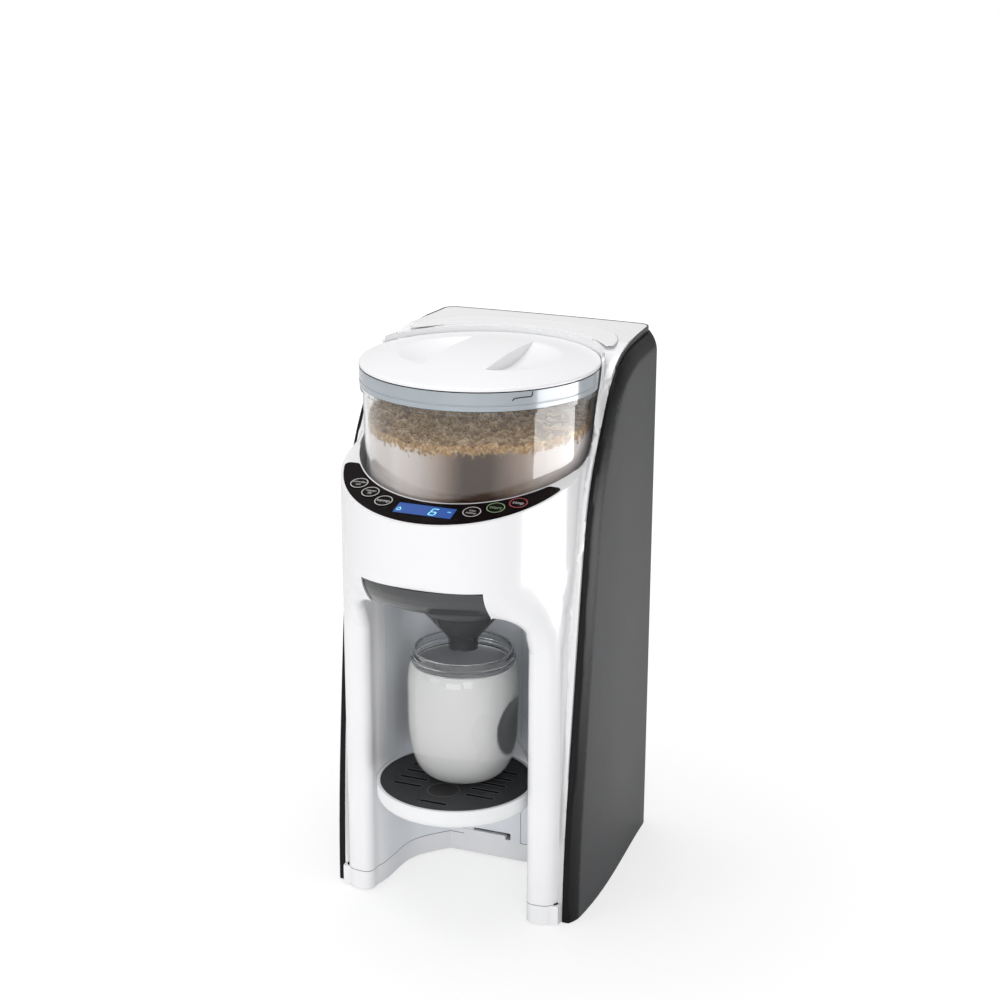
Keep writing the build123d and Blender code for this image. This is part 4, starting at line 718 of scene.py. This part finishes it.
def makeMilk():
    # the bottle's inside up to the milk's level, then a bowl that stands open in the neck
    v = bottle
    sides = bottleProfile(v["wall"] - v["milkFit"], v["milk"])
    rim, level = sides[-1] - [v["milkRim"], 0.0]
    sag = np.linspace(0, pi / 2, 12)[1:]
    bowl = np.stack([rim * np.cos(sag), level - v["milkBowl"] * np.sin(sag)], axis=1)
    rows = np.vstack([sides, [(rim, level)], bowl])
    grid, inside = dimpled(turned(rows, v["axis"], v["steps"]))
    milk = surface("BottleMilk", grid, wrapU=True)
    gain, start = v["gripEdge"]
    # painted shade: grey on the grips by how far they are pressed in, and on the bowl's rows open in the neck
    stored(milk, "pressedShade", np.clip(inside * gain - start, 0, 1))
    stored(milk, "open", (np.arange(len(rows)) > len(sides))[None, :] + 0.0 * inside)
    weld(milk, angle=50)
    finishPiece(milk, mats["milk"], "bottle", ["bottle_milk"])


makeBottle()
makeMilk()
print("bottle made")

panel = {"slope": 0.254, "ringRadius": 5.35, "ringWidth": 0.55, "printHeight": 0.05, "steps": 64,
         "twoLineSize": 2.9, "oneLineSize": 4.2, "lineDrop": 0.95, "textHalf": 0.01, "faceDepth": 0.02,
         "prints": [(("powder", "set"), "grey", "grey"),   # words, ring's ink, words' ink
                    (("water", "fill"), "grey", "grey"),
                    (("temp",), "grey", "grey"), (("size", "ml/oz"), "grey", "grey"),
                    (("start",), "green", "green"), (("stop",), "red", "grey")]}
acrossPanel = np.array([1.0, 0.0, 0.0])
panelUp = np.array([0.0, -panel["slope"], 1.0]) / np.hypot(1.0, panel["slope"])
panelAlong = np.cross(panelUp, acrossPanel)   # up the slope, towards the hopper


def cornersOf(mesh):
    co = np.empty(len(mesh.vertices) * 3)
    mesh.vertices.foreach_get("co", co)
    return co.reshape(-1, 3)


def nodeTop(node):
    # middle of the node's corners that lie highest along the panel's normal, in mm
    co = cornersOf(nodes[node].data) / mm
    height = co @ panelUp
    face = co[height > height.max() - panel["faceDepth"]]
    return (face.min(axis=0) + face.max(axis=0)) / 2


def textMesh(name, words, size, centre, height):
    # each word centred on its own line, laid on the panel's slope
    half = panel["textHalf"]
    parts = []
    for row, word in enumerate(words):
        data = bpy.data.curves.new(name + word, "FONT")
        data.body = word
        data.size = size
        data.align_x, data.align_y = "CENTER", "CENTER"
        data.extrude = half
        data.resolution_u = 2
        holder = newObject(name + word, data)
        bpy.context.view_layer.update()
        mesh = bpy.data.meshes.new_from_object(holder.evaluated_get(bpy.context.evaluated_depsgraph_get()))
        bpy.data.objects.remove(holder)
        x, y, z = cornersOf(mesh).T[:, :, None]
        y = y - (row - (len(words) - 1) / 2) * size * panel["lineDrop"]
        z = (z + half) * height / (2 * half)
        laid = centre + x * acrossPanel + y * panelAlong + z * panelUp
        mesh.vertices.foreach_set("co", (laid * mm).ravel())
        mesh.update()
        parts.append(newObject(name + word, mesh))
    return joined(name, parts)


def makeButtonPrints():
    # a ring round each cap's edge and its words on the cap; both move with the button
    v = panel
    turn = fullTurn(v["steps"])[:, None]
    circle = v["ringRadius"] * (np.cos(turn) * acrossPanel + np.sin(turn) * panelAlong)
    for number, (words, ringInk, wordInk) in enumerate(v["prints"], 1):
        button = "button_%d" % number
        centre = nodeTop(button)
        ring = carried("ButtonRing%d" % number, centre + circle, panelUp, v["ringWidth"], v["printHeight"],
                       closed=True)
        finishPiece(ring, printMats[ringInk], button)
        size = v["twoLineSize"] if len(words) > 1 else v["oneLineSize"]
        text = textMesh("ButtonWord%d" % number, words, size, centre, v["printHeight"])
        finishPiece(text, printMats[wordInk], button)


makeButtonPrints()
print("button prints made")

display = {"digitAt": (6.0, -0.4), "digitWide": 3.9, "digitTall": 7.0, "lean": 0.16, "stroke": 0.75,
           "inset": 0.35, "height": 0.06, "dropAt": (-16.3, -1.6), "dropWide": 2.6, "dropTall": 4.6,
           "dropBend": 0.7, "dropFlat": 0.55, "dropLine": 0.5, "dropSteps": 24, "unitAt": (15.4, 1.6),
           "unitSize": 2.6,   # and a six, in half widths and heights
           "digit": (((-1, 1), (1, 1)), ((-1, 1), (-1, 0)), ((-1, 0), (1, 0)),
                     ((-1, 0), (-1, -1)), ((1, 0), (1, -1)), ((-1, -1), (1, -1)))}


def onGlass(x, s):
    # x across and s up the slope from the middle of the display's glass
    return nodeTop("lcd_display") + np.outer(x, acrossPanel) + np.outer(s, panelAlong)


def makeDisplay():
    v = display
    size = np.array([v["digitWide"], v["digitTall"]]) / 2
    cx, cs = v["digitAt"]
    parts = []
    for start, end in v["digit"]:
        a, b = size * start, size * end
        inset = v["inset"] * v["stroke"] * (b - a) / np.linalg.norm(b - a)
        x, s = np.array([a + inset, b - inset]).T
        path = onGlass(cx + x + v["lean"] * s, cs + s)
        parts.append(carried("stroke", path, panelUp, v["stroke"], v["height"]))
    turn = fullTurn(v["dropSteps"])
    upper = np.sin(turn) > 0   # drawn in to a point, over a flatter round end
    narrow = np.where(upper, (1 - np.sin(turn)) ** v["dropBend"], 1.0)
    dropX = v["dropAt"][0] + v["dropWide"] / 2 * np.cos(turn) * narrow
    dropS = v["dropAt"][1] + v["dropTall"] / 2 * np.sin(turn) * np.where(upper, 1.0, v["dropFlat"])
    parts.append(carried("drop", onGlass(dropX, dropS), panelUp, v["dropLine"], v["height"], closed=True))
    ux, us = v["unitAt"]
    parts.append(textMesh("unit", ("oz",), v["unitSize"], onGlass([ux], [us])[0], v["height"]))
    finishPiece(joined("DisplayDigits", parts), digitMat, "machine")


makeDisplay()
print("display made")

visor = {"half": 39.75, "low": 216.3, "high": 233.9, "chinCentre": -36.5, "chinRadius": 76.5, "sink": 0.8,
         "thick": 1.2, "columns": 72, "rows": 22,
         "levels": (216.1, 219.2, 222.5, 225.3, 227.8, 230.4, 232.3, 234.5),
         "back": (11.2, 8.3, 5.4, 3.55, 2.0, 0.95, 0.4, 0.0),   # how far the chin is drawn back at each level
         "cheekIn": 40.24, "cheekOut": 40.7, "cheekBelow": 2.0, "cheekSink": 0.5, "cheekDeep": 9.0,
         "cheekRows": 18, "cheekRear": (216.0, -83.0), "cheekLean": 0.72}


def chinFace(x, z, sink):
    # the chin's round front, drawn back below as its lower edge rolls under, and sunk a little behind it
    v = visor
    roll = np.interp(z, v["levels"], v["back"])
    return v["chinCentre"] - np.sqrt((v["chinRadius"] - sink) ** 2 - x ** 2) + roll


def makeVisorFace():
    v = visor
    x = np.linspace(-v["half"], v["half"], v["columns"])[:, None]
    z = np.linspace(v["low"], v["high"], v["rows"])[None, :]
    front = chinFace(x, z, v["sink"])
    py = np.hstack([front, front[:, ::-1] + v["thick"]])
    pz = np.hstack([z, z[:, ::-1]])
    face = surface("VisorFace", xyz(x, py, pz), wrapV=True)
    weld(capped(face, pz.shape[1]), angle=35)
    finishPiece(face, mats["smoke_plastic"], "funnel")


def makeCheeks():
    # a thin web each side that closes the hollow chin beside the visor
    v = visor
    count, lowest = v["cheekRows"], v["levels"][0]
    z = np.linspace(lowest - v["cheekBelow"], v["high"], count)
    front = chinFace(np.full(count, v["cheekIn"]), np.maximum(z, lowest), v["cheekSink"])
    level, y = v["cheekRear"]
    rear = np.minimum(front + v["cheekDeep"], y - (z - level) * v["cheekLean"])
    rows = np.stack([front, front, rear, rear], axis=1)
    parts = []
    for side in (-1, 1):
        x = side * np.array([v["cheekIn"], v["cheekOut"], v["cheekOut"], v["cheekIn"]])
        cheek = surface("cheek", xyz(x, rows, z[:, None]), wrapV=True)
        parts.append(weld(capped(cheek, 4), smooth=False))
    finishPiece(joined("NotchCheeks", parts), mats["white_plastic"], "machine")


makeVisorFace()
makeCheeks()
print("visor made")

ringPiece = {"axis": (0.0, -11.0), "low": 339.3, "high": 351.0, "outer": 75.0, "inner": 73.45, "chamfer": 0.25,
             "stepAt": 342.6, "step": 0.35, "stepRise": 0.2, "grooveTall": 0.5, "bandFrom": 0.8, "bandIn": 0.1,
             "topBevel": 0.3, "steps": 192, "lineSteps": 240,
             "latch": ((0.655, 345.5), (0.668, 346.9), (0.735, 347.3),   # radians and levels
                       (0.815, 347.3), (0.824, 348.4), (0.826, 350.3)),
             "latchRows": 26, "latchIn": 0.12, "latchWidth": 0.65, "latchRise": 0.25,
             "lineLevel": 351.15, "lineIn": 0.1, "lineWidth": 0.6, "lineRise": 0.16}


def outwardAt(turn):
    # level unit vectors away from an upright axis; turn is 0 at the front and grows to the right
    return xyz(np.sin(turn), -np.cos(turn), 0.0)


def makeRing():
    v = ringPiece
    outer, low, high, step = v["outer"], v["low"], v["high"], v["stepAt"]
    groove, band = outer - v["step"], outer - v["bandIn"]
    profile = np.array([
        (v["inner"], low), (outer - v["chamfer"], low), (outer, low + v["chamfer"]),
        (outer, step - v["stepRise"]), (groove, step), (groove, step + v["grooveTall"]),
        (band, step + v["bandFrom"]), (band, high - v["topBevel"]), (band - v["topBevel"], high),
        (v["inner"], high)])
    ring = surface("LockingRing", turned(profile, v["axis"], v["steps"]), wrapU=True, wrapV=True)
    weld(ring, angle=35)
    finishPiece(ring, mats["frosted_plastic"], "ring", ["locking_ring"])


def makeRingMarks():
    # the bent latch mark on the ring's band, and the dark line all round under the lid: a black bar as painted
    # shadow of the gap there
    v = ringPiece
    share, corner = np.linspace(0, 1, v["latchRows"]), np.linspace(0, 1, len(v["latch"]))
    turn, level = [np.interp(share, corner, row) for row in zip(*v["latch"])]
    outward = outwardAt(turn)
    path = [*v["axis"], 0.0] + (v["outer"] - v["latchIn"]) * outward + level[:, None] * [0.0, 0.0, 1.0]
    latch = carried("LatchMark", path, outward, v["latchWidth"], v["latchRise"])
    finishPiece(latch, printMats["line"], "ring")
    outward = outwardAt(fullTurn(v["lineSteps"]))
    path = [*v["axis"], v["lineLevel"]] + (v["outer"] - v["lineIn"]) * outward
    line = carried("LidSeam", path, outward, v["lineWidth"], v["lineRise"], closed=True)
    finishPiece(line, printMats["shadowLine"], "lid")


makeRing()
makeRingMarks()
print("ring made")

# a low dome with a half bowl each side of its grip
lid = {"axis": (0.0, -11.0), "crown": 359.6, "domeRadius": 452.9, "edgeRadius": 73.8, "outer": 75.0,
       "low": 351.0, "plug": 70.2, "plugLow": 345.1, "wall": 2.4, "bowlX": 14.0, "bowlCentre": 467.6,
       "bowlRadius": 117.0,
       "grip": 20.0, "slit": 0.03, "seam": 0.02, "underRim": 1.0, "underEdge": (0.5, 0.4), "steps": 240}


def lidHeight(x, y, bowls):
    # the lower of the dome and, outside the grip, the round bottom of the bowl on that side
    v = lid
    dome = v["crown"] - v["domeRadius"] + np.sqrt(v["domeRadius"] ** 2 - x ** 2 - y ** 2)
    bowl = v["bowlCentre"] - np.sqrt(v["bowlRadius"] ** 2 - (np.abs(x) - v["bowlX"]) ** 2 - y ** 2)
    return np.where(bowls, np.minimum(dome, bowl), dome)


def makeLid():
    # rows of constant x run across the lid, two of them close together where the bowl's straight wall stands
    v = lid
    middle = np.linspace(-v["grip"] + v["slit"], v["grip"] - v["slit"], 21)
    bend = np.linspace(0, pi / 2, 50)
    side = v["grip"] + v["slit"] + (v["edgeRadius"] - v["grip"] - v["slit"]) * np.sin(bend)
    x = np.concatenate([-side[::-1], middle, side])[:, None]
    s = np.sin(np.linspace(-pi / 2, pi / 2, 90))[None, :]
    outside = np.abs(x) > v["grip"]
    across = lambda x: s * np.sqrt(np.clip(v["edgeRadius"] ** 2 - x ** 2, 0, None))
    top = lidHeight(x, across(x), outside)
    inner = v["grip"] - v["wall"]
    grown = inner + (np.abs(x) - v["grip"]) * (v["edgeRadius"] - inner) / (v["edgeRadius"] - v["grip"])
    xUnder = np.where(outside, np.sign(x) * grown, x * inner / v["grip"])
    under = lidHeight(xUnder, across(xUnder), outside) - v["wall"]
    px = np.hstack([x + 0 * s, xUnder + 0 * s])
    py = np.hstack([across(x), across(xUnder)[:, ::-1]]) + v["axis"][1]
    cap = surface("cap", xyz(px, py, np.hstack([top, under[:, ::-1]])), wrapV=True)
    rimTop = v["crown"] - v["domeRadius"] + np.sqrt(v["domeRadius"] ** 2 - v["edgeRadius"] ** 2)
    reach, plugInside = v["outer"] - v["edgeRadius"], v["plug"] - v["wall"]
    inward, down = v["underEdge"]
    rows = [(v["edgeRadius"] + reach * sin(a), rimTop - v["seam"] - reach * (1 - cos(a)))
            for a in np.linspace(0, pi / 2, 10)]
    rows += [(v["outer"], v["low"]), (v["plug"], v["low"]), (v["plug"], v["plugLow"]),
             (plugInside, v["plugLow"]), (plugInside, rimTop - v["underRim"]),
             (v["edgeRadius"] - inward, rimTop - down)]
    rim = surface("rim", turned(np.array(rows), v["axis"], v["steps"]), wrapU=True, wrapV=True)
    piece = joined("ContainerLid", [weld(cap, angle=35), weld(rim, angle=35)])
    finishPiece(piece, mats["lid_plastic"], "lid", ["container_lid"])


makeLid()
print("lid made")

# slot rims in a lighter grey as painted highlight, painted dark shade under the slots, and a round dimple; slots
# stand in two columns and one lies in front
tray = {"centre": (0.0, -50.8), "top": 85.3, "slotX": 25.0, "pitch": 10.2, "rows": 5, "length": 20.0,
        "width": 3.0, "frontSlot": (1.6, -90.0), "endSteps": 12, "rimOut": 0.1, "rimWidth": 0.5,
        "rimHeight": 0.2, "shadeSink": 0.12, "shadeDeep": 0.8, "dimpleY": -70.8, "dimpleRadius": 10.0,
        "dimpleSteps": 72, "dimpleRimOut": 0.3, "dimpleRimWidth": 0.7,
        "bowlDepth": 0.75, "bowlLift": 0.08, "bowlUnder": 0.1}
upright = np.array([0.0, 0.0, 1.0])


def slotPath(x, y):
    # a round-ended slot: two half circles joined by straight sides
    v = tray
    end = np.linspace(-pi / 2, pi / 2, v["endSteps"])
    r, reach = v["width"] / 2 + v["rimOut"], v["length"] / 2 - v["width"] / 2
    px = np.concatenate([x + reach + r * np.cos(end), x - reach - r * np.cos(end)])
    py = np.concatenate([y + r * np.sin(end), y - r * np.sin(end)])
    return xyz(px, py, v["top"])


def makeTrayDetails():
    v = tray
    cx, cy = v["centre"]
    rows = [cy + v["pitch"] * (i - (v["rows"] - 1) / 2) for i in range(v["rows"])]
    places = [(cx + side * v["slotX"], y) for y in rows for side in (-1, 1)] + [v["frontSlot"]]
    paths = [slotPath(x, y) for x, y in places]
    rims = [carried("rim", path, upright, v["rimWidth"], v["rimHeight"], closed=True) for path in paths]
    outward = outwardAt(fullTurn(v["dimpleSteps"]))
    path = [cx, v["dimpleY"], v["top"]] + (v["dimpleRadius"] + v["dimpleRimOut"]) * outward
    rims.append(carried("rim", path, upright, v["dimpleRimWidth"], v["rimHeight"], closed=True))
    finishPiece(joined("TraySlotRims", rims), printMats["slotRimHighlight"], "tray")
    share = np.linspace(0, 1, 12)
    radius, sunk = v["dimpleRadius"] * share, v["top"] - v["bowlDepth"] * (1 - share ** 2)
    bowl = np.stack([radius, sunk + v["bowlLift"]], axis=1)
    under = np.stack([radius, sunk - v["bowlUnder"]], axis=1)[::-1]
    grid = turned(np.vstack([bowl, under]), (cx, v["dimpleY"]), v["dimpleSteps"])
    dimple = weld(surface("TrayDimple", grid, wrapU=True, wrapV=True), angle=50)
    finishPiece(dimple, mats["black_plastic"], "tray")
    shades = []
    for path in paths:
        top = path - v["shadeSink"] * upright
        shade = surface("shade", np.stack([top, top - v["shadeDeep"] * upright], axis=1), wrapU=True)
        shades.append(weld(capped(shade, 40), smooth=False))
    finishPiece(joined("TraySlotShade", shades), printMats["shadowLine"], "tray")


makeTrayDetails()
print("tray details made")

# the wide lid plate in a greyer white as painted shade, with its groove, and the dark rim round the deck
deck = {"level": 357.0, "axis": (0.0, -11.0), "inner": 80.8, "halfWide": 70.0, "halfDeep": 58.5,
        "middleY": 30.0, "bend": 2.6, "farthest": 130.0, "plate": 0.6, "edge": 0.35, "lift": 0.02, "sideIn": 4.0,
        "plateSteps": 121, "grooveOut": 0.2, "grooveWidth": 0.5, "grooveRise": 0.12,
        "sideHalf": ((-70.5, 82.8), (-18.0, 86.2), (34.0, 83.5), (111.5, 78.0)), "rearY": 113.0, "rearBow": 1.5,
        "corner": 14.0, "rimInset": 6.25, "rimFrom": 20.0, "rimWidth": 1.0, "rimTall": 3.2,
        "rimRise": ((-6.3, 321.0), (11.5, 343.5), (22.0, 350.3), (34.0, 353.6), (60.0, 356.2), (75.0, 357.15))}


def deckEdge(turn, shrink):
    # distance from the hopper's axis to |x/a|^n + |(y - m)/b|^n = 1, found by halving the gap 40 times
    v = deck
    low, high = np.full(turn.shape, v["inner"]), np.full(turn.shape, v["farthest"])
    for _ in range(40):
        d = (low + high) / 2
        x = d * np.sin(turn) / (v["halfWide"] - shrink)
        y = (v["axis"][1] + d * np.cos(turn) - v["middleY"]) / (v["halfDeep"] - shrink)
        inside = np.abs(x) ** v["bend"] + np.abs(y) ** v["bend"] < 1
        low, high = np.where(inside, d, low), np.where(inside, high, d)
    return low


def aroundHopper(turn, distance, level):
    # points at that distance and level from the hopper's axis; turn is 0 at the rear
    x, y = distance * np.sin(turn), deck["axis"][1] + distance * np.cos(turn)
    return xyz(x, y, level)


def makeDeckLid():
    v = deck
    far = np.arcsin((v["halfWide"] - v["sideIn"]) / v["inner"])
    turn = np.linspace(-far, far, v["plateSteps"])
    top = v["level"] + v["plate"]
    edges = [(0.0, v["level"] + v["lift"]), (0.0, top - v["edge"]), (v["edge"], top)]
    rings = [aroundHopper(turn, v["inner"] + shrink, z) for shrink, z in edges]
    rings += [aroundHopper(turn, deckEdge(turn, shrink), z) for shrink, z in reversed(edges)]
    plate = capped(surface("DeckLidPlate", np.stack(rings, axis=1), wrapV=True), 12)
    weld(plate, angle=30)
    finishPiece(plate, printMats["deckLidShade"], "tank_lid")
    path = aroundHopper(turn, deckEdge(turn, -v["grooveOut"]), v["level"])
    groove = carried("DeckLidGroove", path, upright, v["grooveWidth"], v["grooveRise"])
    finishPiece(groove, printMats["groove"], "tank_lid")


def deckRimPath():
    # down one side, round the back corner and over to the middle of the back, then mirrored
    v = deck
    ys, xs = zip(*v["sideHalf"])
    fit = np.polyfit(ys, xs, 3)
    r = v["corner"] - v["rimInset"]
    rear = v["rearY"] - v["rearBow"] - v["rimInset"]
    sideY = np.linspace(v["rimFrom"], rear - r, 60)
    sideX = np.polyval(fit, sideY) - v["rimInset"]
    bend = np.linspace(0, pi / 2, 14)[1:]
    cornerX, cornerY = sideX[-1] - r + r * np.cos(bend), rear - r + r * np.sin(bend)
    backX = np.linspace(cornerX[-1], 0, 40)[1:]
    backY = rear + v["rearBow"] * (1 - (backX / cornerX[-1]) ** 2)
    x = np.concatenate([sideX, cornerX, backX])
    y = np.concatenate([sideY, cornerY, backY])
    return np.concatenate([x, -x[-2::-1]]), np.concatenate([y, y[-2::-1]])


def makeDeckRim():
    v = deck
    x, y = deckRimPath()
    z = np.interp(y, *zip(*v["rimRise"]))   # it climbs beside the hopper and lies level behind
    path = xyz(x, y, z - v["rimTall"])
    rim = carried("DeckRim", path, upright, v["rimWidth"], v["rimTall"])
    finishPiece(rim, printMats["darkRim"], "machine")


makeDeckLid()
makeDeckRim()
print("deck made")

# the tongue that stands in the bay's low slot
tongue = {"left": -21.5, "right": 8.8, "faceY": 9.0, "depth": 3.0, "low": 15.4, "high": 18.5}


def makeTongue():
    # a bar with a round right end: its outline carried back through the slot
    v = tongue
    end = np.linspace(-pi / 2, pi / 2, 9)
    middle, half = (v["low"] + v["high"]) / 2, (v["high"] - v["low"]) / 2
    x = np.concatenate([[v["left"]], v["right"] + half * np.cos(end), [v["left"]]])
    z = np.concatenate([[v["low"]], middle + half * np.sin(end), [v["high"]]])
    grid = np.stack([xyz(x, y, z) for y in (v["faceY"], v["faceY"] + v["depth"])], axis=1)
    bar = weld(capped(surface("VentTongue", grid, wrapU=True), 40), angle=30)
    finishPiece(bar, mats["white_plastic"], "machine")


makeTongue()
print("tongue made")
